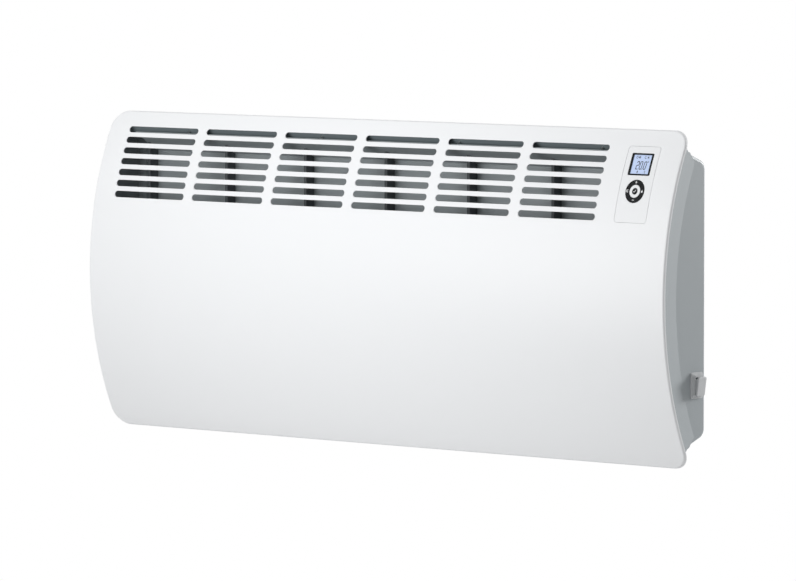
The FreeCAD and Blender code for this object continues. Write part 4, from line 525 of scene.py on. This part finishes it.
def finTree():
    tree, start, end = newTree("finRow", {
        "Count": "Int", "Start": "Vector", "Step": "Float", "Depth": "Float", "Height": "Float",
        "Sheet": "Float", "Corner": "Float", "Bore": "Float", "Bore Spacing": "Float", "Collar": "Float",
        "Finish": "Material"})
    given = start.outputs

    def boresOf(radius):
        circle = addNode(tree, "GeometryNodeCurvePrimitiveCircle", None,
                         {"Resolution": 14, "Radius": radius})
        pair = addNode(tree, "GeometryNodeJoinGeometry")
        for share in (0.5, -0.5):
            across = calc(tree, "MULTIPLY", given["Bore Spacing"], share)
            spot = addNode(tree, "ShaderNodeCombineXYZ", None, {0: across})
            moved = addNode(tree, "GeometryNodeTransform", None, {"Geometry": circle.outputs[0],
                                                                  "Translation": spot.outputs[0]})
            tree.links.new(moved.outputs[0], pair.inputs[0])
        return pair.outputs[0]

    def joinOf(*pieces):
        joined = addNode(tree, "GeometryNodeJoinGeometry")
        for piece in pieces:
            tree.links.new(piece, joined.inputs[0])
        return joined.outputs[0]

    outline = addNode(tree, "GeometryNodeCurvePrimitiveQuadrilateral", None,
                      {"Width": given["Depth"], "Height": given["Height"]})
    rounded = addNode(tree, "GeometryNodeFilletCurve", {"mode": "POLY"},
                      {"Curve": outline.outputs[0], "Radius": given["Corner"], "Count": 3})
    bores = boresOf(given["Bore"])
    sheet = sheetFrom(tree, joinOf(rounded.outputs[0], bores), given["Sheet"])
    wide = boresOf(calc(tree, "ADD", given["Bore"], given["Collar"]))
    reach = calc(tree, "SUBTRACT", given["Step"], calc(tree, "MULTIPLY", given["Sheet"], 0.5))
    collars = sheetFrom(tree, joinOf(wide, bores), reach)
    offset = addNode(tree, "ShaderNodeCombineXYZ", None, {0: given["Step"]}).outputs[0]

    def rowOf(shape, count):
        upright = addNode(tree, "GeometryNodeTransform", None, {
            "Geometry": shape, "Rotation": (math.pi / 2, 0, math.pi / 2)})
        line = addNode(tree, "GeometryNodeMeshLine", None, {
            "Count": count, "Start Location": given["Start"], "Offset": offset})
        return addNode(tree, "GeometryNodeInstanceOnPoints", None, {
            "Points": line.outputs[0], "Instance": upright.outputs[0]}).outputs[0]

    row = joinOf(rowOf(sheet, calc(tree, "ADD", given["Count"], 1.0)), rowOf(collars, given["Count"]))
    finishTree(tree, row, given["Finish"], end)
    return tree


def makeElementFins():
    low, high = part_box("element_fins")
    tubeLow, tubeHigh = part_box("element_tube")
    tubeRadius = (tubeHigh.z - tubeLow.z) / 2
    middle = (low + high) / 2
    gaps = round((high.x - low.x) / fins["pitch"])
    step = (high.x - low.x - fins["sheet"]) / gaps
    row = bakeTree(bpy.data.meshes.new("nothing"), "elementFins", finTree(), {
        "Count": gaps, "Start": (low.x, middle.y, middle.z), "Step": step, "Depth": high.y - low.y,
        "Height": high.z - low.z, "Sheet": fins["sheet"], "Corner": fins["corner"],
        "Bore": tubeRadius + fins["slip"], "Bore Spacing": tubeHigh.y - tubeLow.y - 2 * tubeRadius,
        "Collar": fins["collar"], "Finish": finishes["aluminium_fin"]})
    handIn(row, "heater", "aluminium_fin", "element_fins")
    print("element fins:", gaps, "fins,", len(row.data.polygons), "faces")


# folded ribs on the air guide, one to each column of slots, painted dark as painted shade for the shadows the
# slot bridges cast on the guide
ribs = {
    "sheet": 1.2 * mm,
    "fold": 5 * mm,
    "drop": 13.2 * mm,     # lower at the back, under the guide's slope
    "edge": 0.25 * mm,
}


def ribMesh(low, high):
    sheet, fold = ribs["sheet"], ribs["fold"]
    outline = [(0, low.y), (fold, low.y), (fold, low.y + sheet), (sheet, low.y + sheet),
               (sheet, high.y), (0, high.y)]
    bm = bmesh.new()
    below = [bm.verts.new((low.x + x, y, low.z)) for x, y in outline]
    slope = ribs["drop"] / (high.y - low.y)
    above = [bm.verts.new((low.x + x, y, high.z - slope * (y - low.y))) for x, y in outline]
    bm.faces.new(below)
    bm.faces.new(above[::-1])
    for i in range(len(outline)):
        j = (i + 1) % len(outline)
        bm.faces.new((below[i], above[i], above[j], below[j]))
    bmesh.ops.bevel(bm, geom=bm.edges[:], offset=ribs["edge"], segments=1, affect="EDGES")
    bmesh.ops.recalc_face_normals(bm, faces=bm.faces)
    mesh = bpy.data.meshes.new("rib")
    bm.to_mesh(mesh)
    bm.free()
    return mesh


def rowTree():
    tree, start, end = newTree("evenRow", {"Count": "Int", "Step": "Vector", "Finish": "Material"})
    line = addNode(tree, "GeometryNodeMeshLine", None, {"Count": start.outputs["Count"],
                                                        "Offset": start.outputs["Step"]})
    row = addNode(tree, "GeometryNodeInstanceOnPoints", None, {"Points": line.outputs[0],
                                                               "Instance": start.outputs["Geometry"]})
    finishTree(tree, row.outputs[0], start.outputs["Finish"], end)
    return tree


def makeGuideRibs():
    low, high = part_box("guide_ribs")
    step = (high.x - low.x - ribs["fold"]) / (front["columns"] - 1)
    # the ribs carry the dark painted-shade finish
    row = bakeTree(ribMesh(low, high), "guideRibs", rowTree(), {
        "Count": front["columns"], "Step": (step, 0.0, 0.0), "Finish": finishes["dark_sheet"]})
    handIn(row, "heater", "dark_sheet", "guide_ribs")
    print("guide ribs:", front["columns"])


# pan-head screws with a hexagon recess, drawn for a head of radius one
screws = {
    "headHeight": 0.6,
    "shoulder": 0.55,      # upright part of the head, as a share of its height
    "crown": 0.72,
    "recess": 0.62,
    "recessDepth": 0.36,
    "shank": 0.5,
    "shankLength": 1.72,
    "sides": 24,
    "shankSides": 12,
    "recessSides": 6,
    "weld": 1e-4,
    "sharp": 35,
    "farShare": 0.99,      # points this far out are the shank's tip
}


def screwTree():
    tree, start, end = newTree("screwSet", {
        "Head Height": "Float", "Shoulder": "Float", "Crown": "Float", "Recess": "Float",
        "Recess Depth": "Float", "Shank": "Float", "Shank Length": "Float", "Sides": "Int",
        "Finish": "Material"})
    given = start.outputs
    high = given["Head Height"]

    def along(z):
        return addNode(tree, "ShaderNodeCombineXYZ", None, {2: z}).outputs[0]

    def rod(sides, radius, length, base):
        solid = addNode(tree, "GeometryNodeMeshCylinder", None,
                        {"Vertices": sides, "Radius": radius, "Depth": length})
        middle = calc(tree, "ADD", base, calc(tree, "MULTIPLY", length, 0.5))
        return addNode(tree, "GeometryNodeTransform", None, {"Geometry": solid.outputs["Mesh"],
                                                             "Translation": along(middle)}).outputs[0]

    seat = addNode(tree, "GeometryNodeMeshCircle", {"fill_type": "NGON"},
                   {"Vertices": given["Sides"], "Radius": 1.0})
    floor = addNode(tree, "GeometryNodeFlipFaces", None, {0: seat.outputs[0]})
    side = addNode(tree, "GeometryNodeExtrudeMesh", {"mode": "FACES"}, {
        "Mesh": seat.outputs[0], "Offset Scale": calc(tree, "MULTIPLY", high, given["Shoulder"])})
    rest = calc(tree, "MULTIPLY", high, calc(tree, "SUBTRACT", 1.0, given["Shoulder"]))
    surface, top = side.outputs["Mesh"], side.outputs["Top"]
    for rise, narrow in ((0.65, 0.9), (0.35, given["Crown"])):
        step = addNode(tree, "GeometryNodeExtrudeMesh", {"mode": "FACES"}, {
            "Mesh": surface, "Selection": top, "Offset Scale": calc(tree, "MULTIPLY", rest, rise)})
        crown = addNode(tree, "GeometryNodeScaleElements", None, {
            "Geometry": step.outputs["Mesh"], "Selection": step.outputs["Top"], "Scale": narrow})
        surface, top = crown.outputs[0], step.outputs["Top"]
    closed = addNode(tree, "GeometryNodeJoinGeometry")
    tree.links.new(floor.outputs[0], closed.inputs[0])
    tree.links.new(surface, closed.inputs[0])
    head = addNode(tree, "GeometryNodeMergeByDistance", None,
                   {"Geometry": closed.outputs[0], "Distance": screws["weld"]})
    deep = calc(tree, "SUBTRACT", high, given["Recess Depth"])
    key = rod(screws["recessSides"], given["Recess"], given["Head Height"], deep)
    cut = addNode(tree, "GeometryNodeMeshBoolean", {"operation": "DIFFERENCE", "solver": "EXACT"},
                  {"Mesh 1": head.outputs[0], "Mesh 2": key})
    tip = calc(tree, "MULTIPLY", given["Shank Length"], -1.0)
    shank = rod(screws["shankSides"], given["Shank"], given["Shank Length"], tip)
    whole = addNode(tree, "GeometryNodeJoinGeometry")
    tree.links.new(cut.outputs[0], whole.inputs[0])
    tree.links.new(shank, whole.inputs[0])
    aim = addNode(tree, "GeometryNodeInputNamedAttribute", {"data_type": "FLOAT_VECTOR"}, {"Name": "aim"})
    size = addNode(tree, "GeometryNodeInputNamedAttribute", {"data_type": "FLOAT"}, {"Name": "size"})
    turned = addNode(tree, "FunctionNodeAlignRotationToVector", {"axis": "Z"}, {"Vector": aim.outputs[0]})
    placed = addNode(tree, "GeometryNodeInstanceOnPoints", None, {
        "Points": given["Geometry"], "Instance": whole.outputs[0], "Rotation": turned.outputs[0],
        "Scale": size.outputs[0]})
    finishTree(tree, placed.outputs[0], given["Finish"], end)
    return tree


def looseParts(obj):
    bm = bmesh.new()
    bm.from_mesh(obj.data)
    bmesh.ops.remove_doubles(bm, verts=bm.verts, dist=weld)
    waiting = set(bm.verts)
    groups = []
    while waiting:
        group, edge = [], [waiting.pop()]
        while edge:
            vert = edge.pop()
            group.append(vert.co.copy())
            for link in vert.link_edges:
                other = link.other_vert(vert)
                if other in waiting:
                    waiting.remove(other)
                    edge.append(other)
        groups.append(group)
    bm.free()
    return groups


def screwSite(points):
    middle = sum(points, Vector()) / len(points)
    reach = max((p - middle).length for p in points)
    tip = [p for p in points if (p - middle).length > reach * screws["farShare"]]
    out = (middle - sum(tip, Vector()) / len(tip)).normalized()
    top = max((p - middle).dot(out) for p in points)
    radius = max(((p - middle) - out * (p - middle).dot(out)).length for p in points)
    return middle + out * (top - radius * screws["headHeight"]), out, radius


def makeScrews(nodeName):
    sites = [screwSite(points) for points in looseParts(frame["nodes"][nodeName])]
    mesh = bpy.data.meshes.new("screwSites")
    mesh.from_pydata([seat for seat, out, radius in sites], [], [])
    mesh.attributes.new("aim", "FLOAT_VECTOR", "POINT")
    mesh.attributes.new("size", "FLOAT", "POINT")
    for i, (seat, out, radius) in enumerate(sites):
        mesh.attributes["aim"].data[i].vector = out
        mesh.attributes["size"].data[i].value = radius
    piece = bakeTree(mesh, "screws_" + nodeName, screwTree(), {
        "Head Height": screws["headHeight"], "Shoulder": screws["shoulder"], "Crown": screws["crown"],
        "Recess": screws["recess"], "Recess Depth": screws["recessDepth"], "Shank": screws["shank"],
        "Shank Length": screws["shankLength"], "Sides": screws["sides"], "Finish": finishes["zinc_screw"]})
    smoothBy(piece, screws["sharp"])
    handIn(piece, bodyOf[nodeName], "zinc_screw", nodeName)
    print(nodeName, len(sites), "screws")


# moulded and pressed pieces with rounded edges, shaded evenly on merged copies
moulded = {
    "nodes": ("side_cap_left", "side_cap_right", "switch_frame", "switch_rocker", "control_fascia",
              "key_carrier", "display_frame", "key_plus", "key_minus", "key_menu", "key_mode", "key_ok",
              "cable_gland", "gland_nut", "lock_lever_left", "lock_lever_right", "rear_tray",
              "air_guide"),
    "sharp": 32,     # degrees between any two faces that stay sharp
    "crease": 4.5,   # degrees between broad faces that stay sharp
    "broad": 4 * mm,
}


def isCrease(edge):
    if len(edge.link_faces) != 2:
        return True
    angle = math.degrees(edge.calc_face_angle(0.0))
    if angle > moulded["sharp"]:
        return True
    widths = [2 * face.calc_area() / max(e.calc_length() for e in face.edges) for face in edge.link_faces]
    return angle > moulded["crease"] and min(widths) > moulded["broad"]


def makeMoulded(nodeName):
    source = frame["nodes"][nodeName]
    bm = bmesh.new()
    bm.from_mesh(source.data)
    bmesh.ops.remove_doubles(bm, verts=bm.verts, dist=weld)
    for face in bm.faces:
        face.smooth = True
    for edge in bm.edges:
        edge.smooth = not isCrease(edge)
    shell = meshObject(nodeName + "Rough", bm, source.data.materials[0])
    evened = shell.modifiers.new("evened", "WEIGHTED_NORMAL")
    evened.keep_sharp = True
    bpy.context.view_layer.update()
    made = bpy.data.meshes.new_from_object(shell.evaluated_get(bpy.context.evaluated_depsgraph_get()))
    bpy.data.objects.remove(shell)
    piece = bpy.data.objects.new(nodeName + "Shell", made)
    bpy.context.scene.collection.objects.link(piece)
    handIn(piece, bodyOf[nodeName], slotOf[nodeName], nodeName)


# flared strip at the front of each side cap, from its crease out to the panel
strip = {
    "flare": 3.5 * mm,
    "depths": (3.0 * mm, 34.8 * mm),
    "capFace": 6 * mm,      # panel's end to the cap's flat side
    "thin": 0.03 * mm,
    "steps": 60,
    "sharp": 20,
    # the casing's sloping shoulder: depth behind the front and height
    "shoulder": ((50.0 * mm, 208.5 * mm), (61.5 * mm, 196 * mm), (98 * mm, 182 * mm)),
}


def makeCapStrip(side):
    face = bow["halfWidth"] - strip["capFace"]
    near, crease = strip["depths"]
    section = [(face, near), (face + strip["flare"], near), (face + strip["thin"], crease), (face, crease)]
    bm = bmesh.new()
    rings = []
    for i in range(strip["steps"] + 1):
        s = bow["edgeS"] * (2 * i / strip["steps"] - 1)
        rings.append([bm.verts.new(onBow(side * x, 0.0, depth, s)) for x, depth in section])
    for a, b in zip(rings, rings[1:]):
        for j in range(len(section)):
            k = (j + 1) % len(section)
            bm.faces.new((a[j], a[k], b[k], b[j]))
    bm.faces.new(rings[0])
    bm.faces.new(rings[-1])
    for up in (1, -1):
        for (d0, z0), (d1, z1) in zip(strip["shoulder"], strip["shoulder"][1:]):
            away = Vector((0.0, z0 - z1, up * (d1 - d0))).normalized()
            spot = Vector((0.0, bow["frontY"] + d0, up * z0)) - away * strip["thin"]
            geometry = bm.verts[:] + bm.edges[:] + bm.faces[:]
            cut = bmesh.ops.bisect_plane(bm, geom=geometry, dist=onPlane, plane_co=spot, plane_no=away,
                                         clear_outer=True)
            rim = [e for e in cut["geom_cut"] if isinstance(e, bmesh.types.BMEdge)]
            bmesh.ops.holes_fill(bm, edges=rim)
    bmesh.ops.remove_doubles(bm, verts=bm.verts, dist=weld)
    bmesh.ops.recalc_face_normals(bm, faces=bm.faces)
    name = "capStripRight" if side > 0 else "capStripLeft"
    piece = meshObject(name, bm, finishes["grey_casing"])
    smoothBy(piece, strip["sharp"])
    handIn(piece, "heater", "grey_casing")
    print(name, len(piece.data.polygons), "faces")


# printed and lit marks
marks = {
    "displayDrop": 25.1 * mm,
    "keysDrop": 62.7 * mm,
    "keyProud": 0.5 * mm,
    "markRing": 12.3 * mm,
    "displayFace": 0.95 * mm,
    "printThick": 0.06 * mm,
    "digitSize": (3.6 * mm, 10.6 * mm),
    "digitGap": 2.0 * mm,
    "stroke": 1.1 * mm,
    "digitLean": 0.10,
    "digitsUp": -6.6 * mm,
    "digitsAside": 0.3 * mm,
    "pointRoom": 1.2 * mm,
    "point": 0.55 * mm,
    "degreeAside": 2.3 * mm,
    "degree": (1.0 * mm, 0.55 * mm, 14),
}

# signs on the display, from its middle
signs = {
    "rowUp": 10.0 * mm,
    "clock": {"x": -9.6 * mm, "rim": (2.0 * mm, 1.6 * mm), "line": 0.4 * mm,
              "hands": ((0.0, 1.4 * mm), (0.9 * mm, -0.6 * mm))},
    "fan": {"x": -5.2 * mm, "arm": 1.1 * mm, "blade": 0.75 * mm, "blades": 4, "turn": 0.4},
    "moon": {"x": 4.8 * mm, "rim": (1.8 * mm, 1.2 * mm), "part": slice(4, 18)},
    "sun": {"x": 9.2 * mm, "disc": 1.0 * mm, "rays": 8, "ray": (1.4 * mm, 2.2 * mm), "line": 0.35 * mm},
    "flame": [(-4.6 * mm, -12.0 * mm), (-3.2 * mm, -11.6 * mm), (-2.9 * mm, -10.4 * mm),
              (-3.9 * mm, -8.4 * mm), (-4.9 * mm, -10.3 * mm)],
    "key": {"x": 8.4 * mm, "y": -9.4 * mm, "rim": (1.1 * mm, 0.7 * mm, 14),
            "stem": (8.4 * mm, -10.4 * mm, 8.4 * mm, -12.4 * mm, 0.5 * mm),
            "bit": (8.3 * mm, -11.9 * mm, 9.6 * mm, -11.9 * mm, 0.45 * mm)},
}

# signs on the keys, from the middle of each
keySigns = {
    "arm": 1.7 * mm,
    "line": 0.75 * mm,
    "page": ((-2.2 * mm, -1.8 * mm, -1.5 * mm, 1.8 * mm), (-1.5 * mm, 1.1 * mm, 1.4 * mm, 1.8 * mm),
             (-0.9 * mm, -0.4 * mm, 1.0 * mm, 0.3 * mm), (-0.9 * mm, -1.8 * mm, 1.4 * mm, -1.1 * mm)),
    "dropTip": 2.1 * mm,
    "dropMiddle": -0.4 * mm,
    "dropRound": 1.35 * mm,
    "dropTurn": (30, 240),     # degrees: where the round part starts, and how far it goes
    "dropSteps": 12,
    "tick": ((-1.9 * mm, 0.0, -0.5 * mm, -1.6 * mm), (-0.75 * mm, -1.7 * mm, 2.0 * mm, 1.9 * mm)),
}


def addPrism(bm, outline, s, base, thick):
    near = [bm.verts.new(onBow(fasciaX + x, up, base - thick, s)) for x, up in outline]
    far = [bm.verts.new(onBow(fasciaX + x, up, base, s)) for x, up in outline]
    count = len(outline)
    bm.faces.new(near)
    bm.faces.new(far[::-1])
    for i in range(count):
        bm.faces.new((near[i], far[i], far[(i + 1) % count], near[(i + 1) % count]))


def bar(x0, y0, x1, y1, width):
    along = Vector((x1 - x0, y1 - y0)).normalized()
    side = Vector((-along.y, along.x)) * width / 2
    tip = along * width / 2
    a, b = Vector((x0, y0)), Vector((x1, y1))
    return [tuple(p) for p in (a, a + tip + side, b - tip + side, b, b - tip - side, a + tip - side)]


def disc(x, y, radius, steps=20):
    return [(x + radius * math.cos(2 * math.pi * i / steps), y + radius * math.sin(2 * math.pi * i / steps))
            for i in range(steps)]


def ringMark(x, y, outer, inner, steps=20):
    shapes = []
    for i in range(steps):
        a, b = 2 * math.pi * i / steps, 2 * math.pi * (i + 1) / steps
        shapes.append([(x + r * math.cos(t), y + r * math.sin(t)) for r, t in
                       ((outer, a), (outer, b), (inner, b), (inner, a))])
    return shapes


def strokeAlong(points, width, closed=False):
    # mitred quads, one to each run of the line
    count = len(points)
    spots = [Vector(p) for p in points]
    left, right = [], []
    for i, spot in enumerate(spots):
        before = spots[i - 1] if closed or i else None
        after = spots[(i + 1) % count] if closed or i < count - 1 else None
        ends = [pair for pair in ((before, spot), (spot, after)) if None not in pair]
        runs = [(b - a).normalized() for a, b in ends]
        sides = [Vector((-run.y, run.x)) for run in runs]
        miter = sum(sides, Vector((0, 0))).normalized()
        reach = width / 2 / miter.dot(sides[0])
        left.append(tuple(spot + miter * reach))
        right.append(tuple(spot - miter * reach))
    last = count if closed else count - 1
    return [[left[i], left[(i + 1) % count], right[(i + 1) % count], right[i]] for i in range(last)]


digitLines = {   # corners of each digit's line, as shares of its width and height
    "2": ([(0, 0.84), (0.2, 1), (0.8, 1), (1, 0.84), (1, 0.58), (0.82, 0.5), (0.18, 0.5), (0, 0.42),
           (0, 0), (1, 0)], False),
    "0": ([(0, 0.1), (0, 0.9), (0.2, 1), (0.8, 1), (1, 0.9), (1, 0.1), (0.8, 0), (0.2, 0)], True),
}


def digitShapes(symbol, x, y):
    width, height = marks["digitSize"]
    lean = marks["digitLean"]
    line, closed = digitLines[symbol]
    points = [(x + width * u + lean * height * v, y + height * v) for u, v in line]
    return strokeAlong(points, marks["stroke"], closed)


def makeMarks(name, shapes, s, face, finish, slot, body):
    bm = bmesh.new()
    for outline in shapes:
        addPrism(bm, outline, s, face, marks["printThick"])
    bmesh.ops.recalc_face_normals(bm, faces=bm.faces)
    obj = meshObject(name, bm, finish)
    handIn(obj, body, slot)


def clockSign():
    clock = signs["clock"]
    x, y = clock["x"], signs["rowUp"]
    hands = [bar(x, y, x + across, y + up, clock["line"]) for across, up in clock["hands"]]
    return ringMark(x, y, *clock["rim"]) + hands


def fanSign():
    fan = signs["fan"]
    blades = []
    for i in range(fan["blades"]):
        angle = 2 * math.pi * i / fan["blades"] + fan["turn"]
        x = fan["x"] + fan["arm"] * math.cos(angle)
        blades.append(disc(x, signs["rowUp"] + fan["arm"] * math.sin(angle), fan["blade"], 12))
    return blades


def sunSign():
    sun = signs["sun"]
    x, y = sun["x"], signs["rowUp"]
    near, far = sun["ray"]
    shapes = [disc(x, y, sun["disc"], 16)]
    for i in range(sun["rays"]):
        angle = 2 * math.pi * i / sun["rays"]
        c, d = math.cos(angle), math.sin(angle)
        shapes.append(bar(x + near * c, y + near * d, x + far * c, y + far * d, sun["line"]))
    return shapes


def makeDisplayMarks():
    width, height = marks["digitSize"]
    step = width + marks["digitGap"]
    left = -step * 1.5 + marks["digitsAside"]
    base = marks["digitsUp"]
    point = marks["point"]
    shapes = digitShapes("2", left, base) + digitShapes("0", left + step, base)
    shapes += digitShapes("0", left + 2 * step + marks["pointRoom"], base)
    shapes.append(disc(left + 2 * step - marks["pointRoom"] / 2, base, point, 12))
    shapes += ringMark(left + 3 * step + marks["degreeAside"], base + height, *marks["degree"])
    moon, key = signs["moon"], signs["key"]
    shapes += clockSign() + fanSign()
    shapes += ringMark(moon["x"], signs["rowUp"], *moon["rim"])[moon["part"]]
    shapes += sunSign()
    shapes.append(signs["flame"])
    shapes += ringMark(key["x"], key["y"], *key["rim"])
    shapes += [bar(*key["stem"]), bar(*key["bit"])]
    makeMarks("displaySegments", shapes, fasciaTopS - marks["displayDrop"], marks["displayFace"], inkGrey,
              "black_gloss", "heater")


def oblong(x0, y0, x1, y1):
    return [(x0, y0), (x1, y0), (x1, y1), (x0, y1)]


def plusSign(y):
    arm, half = keySigns["arm"], keySigns["line"] / 2
    return [(-arm, y - half), (-half, y - half), (-half, y - arm), (half, y - arm), (half, y - half),
            (arm, y - half), (arm, y + half), (half, y + half), (half, y + arm), (-half, y + arm),
            (-half, y + half), (-arm, y + half)]


def dropSign(x):
    start, sweep = keySigns["dropTurn"]
    radius = keySigns["dropRound"]
    outline = [(x, keySigns["dropTip"])]
    for i in range(keySigns["dropSteps"] + 1):
        angle = math.radians(start - sweep * i / keySigns["dropSteps"])
        outline.append((x + radius * math.cos(angle), keySigns["dropMiddle"] + radius * math.sin(angle)))
    return outline


def makeKeyMarks():
    s = fasciaTopS - marks["keysDrop"]
    out = marks["markRing"]
    arm, line = keySigns["arm"], keySigns["line"]
    minus = oblong(-arm, -out - line / 2, arm, -out + line / 2)
    menu = [oblong(x0 - out, y0, x1 - out, y1) for x0, y0, x1, y1 in keySigns["page"]]
    tick = [bar(*ends, line) for ends in keySigns["tick"]]
    for name, shapes, body in (("plusMark", [plusSign(out)], "plus_key"), ("minusMark", [minus], "minus_key"),
                               ("menuMark", menu, "menu_key"), ("modeMark", [dropSign(out)], "mode_key"),
                               ("tickMark", tick, "ok_key")):
        makeMarks(name, shapes, s, -marks["keyProud"], inkWhite, "white_fascia", body)


makeFrontPanel()
makeElementFins()
makeGuideRibs()
makeScrews("casing_screws")
makeScrews("board_screws")
for nodeName in moulded["nodes"]:
    makeMoulded(nodeName)
print("moulded pieces:", len(moulded["nodes"]))
makeCapStrip(1)
makeCapStrip(-1)
makeDisplayMarks()
makeKeyMarks()
print("front, display and keys done")


# room, light and camera
studio = {
    "floorDrop": 0.55,
    "floorReach": 120.0,
    "floorColour": (0.62, 0.62, 0.62),
    "keyLight": {"place": (-0.2, -1.5, 0.25), "size": 1.2, "power": 13.3},
    "topLight": {"place": (-0.2, -0.9, 2.2), "size": 1.6, "power": 14.0},
    "sideLight": {"place": (1.3, 3.0, 0.8), "size": 1.2, "power": 88.0},
    "worldGlow": 0.455,
}


def makeLight(name, place, size, power, aim=(0, -0.1, 0)):
    light = bpy.data.lights.new(name, "AREA")
    light.shape = "DISK"
    light.size = size
    light.energy = power
    obj = bpy.data.objects.new(name, light)
    obj.location = place
    obj.rotation_euler = (Vector(aim) - Vector(place)).to_track_quat("-Z", "Y").to_euler()
    obj.visible_camera = False
    bpy.context.scene.collection.objects.link(obj)


def makeRoom():
    bm = bmesh.new()
    floorZ = -bow["halfHeight"] - studio["floorDrop"]
    reach = studio["floorReach"]
    corners = oblong(-reach, -reach, reach, reach)
    bm.faces.new([bm.verts.new((x, y, floorZ)) for x, y in corners])
    floorFinish = coatedFinish("floorPaint", studio["floorColour"], 0.8, 60.0, 0.02, 0.05, 0.0)
    tree = floorFinish.node_tree
    seen = addNode(tree, "ShaderNodeEmission", None, {"Color": (1, 1, 1, 1), "Strength": 1.0})
    whiteOut = addNode(tree, "ShaderNodeMixShader", None, {
        0: tree.nodes.new("ShaderNodeLightPath").outputs["Is Camera Ray"],
        1: tree.nodes["Principled BSDF"].outputs[0], 2: seen.outputs[0]})
    tree.links.new(whiteOut.outputs[0], tree.nodes["Material Output"].inputs["Surface"])
    meshObject("paleFloor", bm, floorFinish)
    world = bpy.data.worlds.new("studio")
    bpy.context.scene.world = world
    world.use_nodes = True
    tree = world.node_tree
    plain = tree.nodes["Background"]
    plain.inputs["Color"].default_value = (1, 1, 1, 1)
    plain.inputs["Strength"].default_value = studio["worldGlow"]
    bright = addNode(tree, "ShaderNodeBackground", None, {"Color": (1, 1, 1, 1), "Strength": 1.0})
    ray = tree.nodes.new("ShaderNodeLightPath")
    mix = addNode(tree, "ShaderNodeMixShader", None, {0: ray.outputs["Is Camera Ray"], 1: plain.outputs[0],
                                                      2: bright.outputs[0]})
    tree.links.new(mix.outputs[0], tree.nodes["World Output"].inputs["Surface"])
    for name in ("keyLight", "topLight", "sideLight"):
        makeLight(name, **studio[name])
    bpy.context.scene.view_settings.view_transform = "Standard"


view = {
    "place": (5.677, -6.5475, 0.5849),
    "turn": 41.155,     # degrees to the right of straight on
    "tip": 3.95,        # degrees down
    "lens": 283.0,
    "far": 300,
}


def makeCamera():
    turn, tip = math.radians(view["turn"]), math.radians(view["tip"])
    ahead = Vector((-math.sin(turn) * math.cos(tip), math.cos(turn) * math.cos(tip), -math.sin(tip)))
    data = bpy.data.cameras.new("camera")
    data.lens = view["lens"]
    data.clip_end = view["far"]
    camera = bpy.data.objects.new("camera", data)
    camera.location = view["place"]
    camera.rotation_euler = ahead.to_track_quat("-Z", "Y").to_euler()
    bpy.context.scene.collection.objects.link(camera)
    bpy.context.scene.camera = camera


makeRoom()
makeCamera()

print("room, lights and camera done")
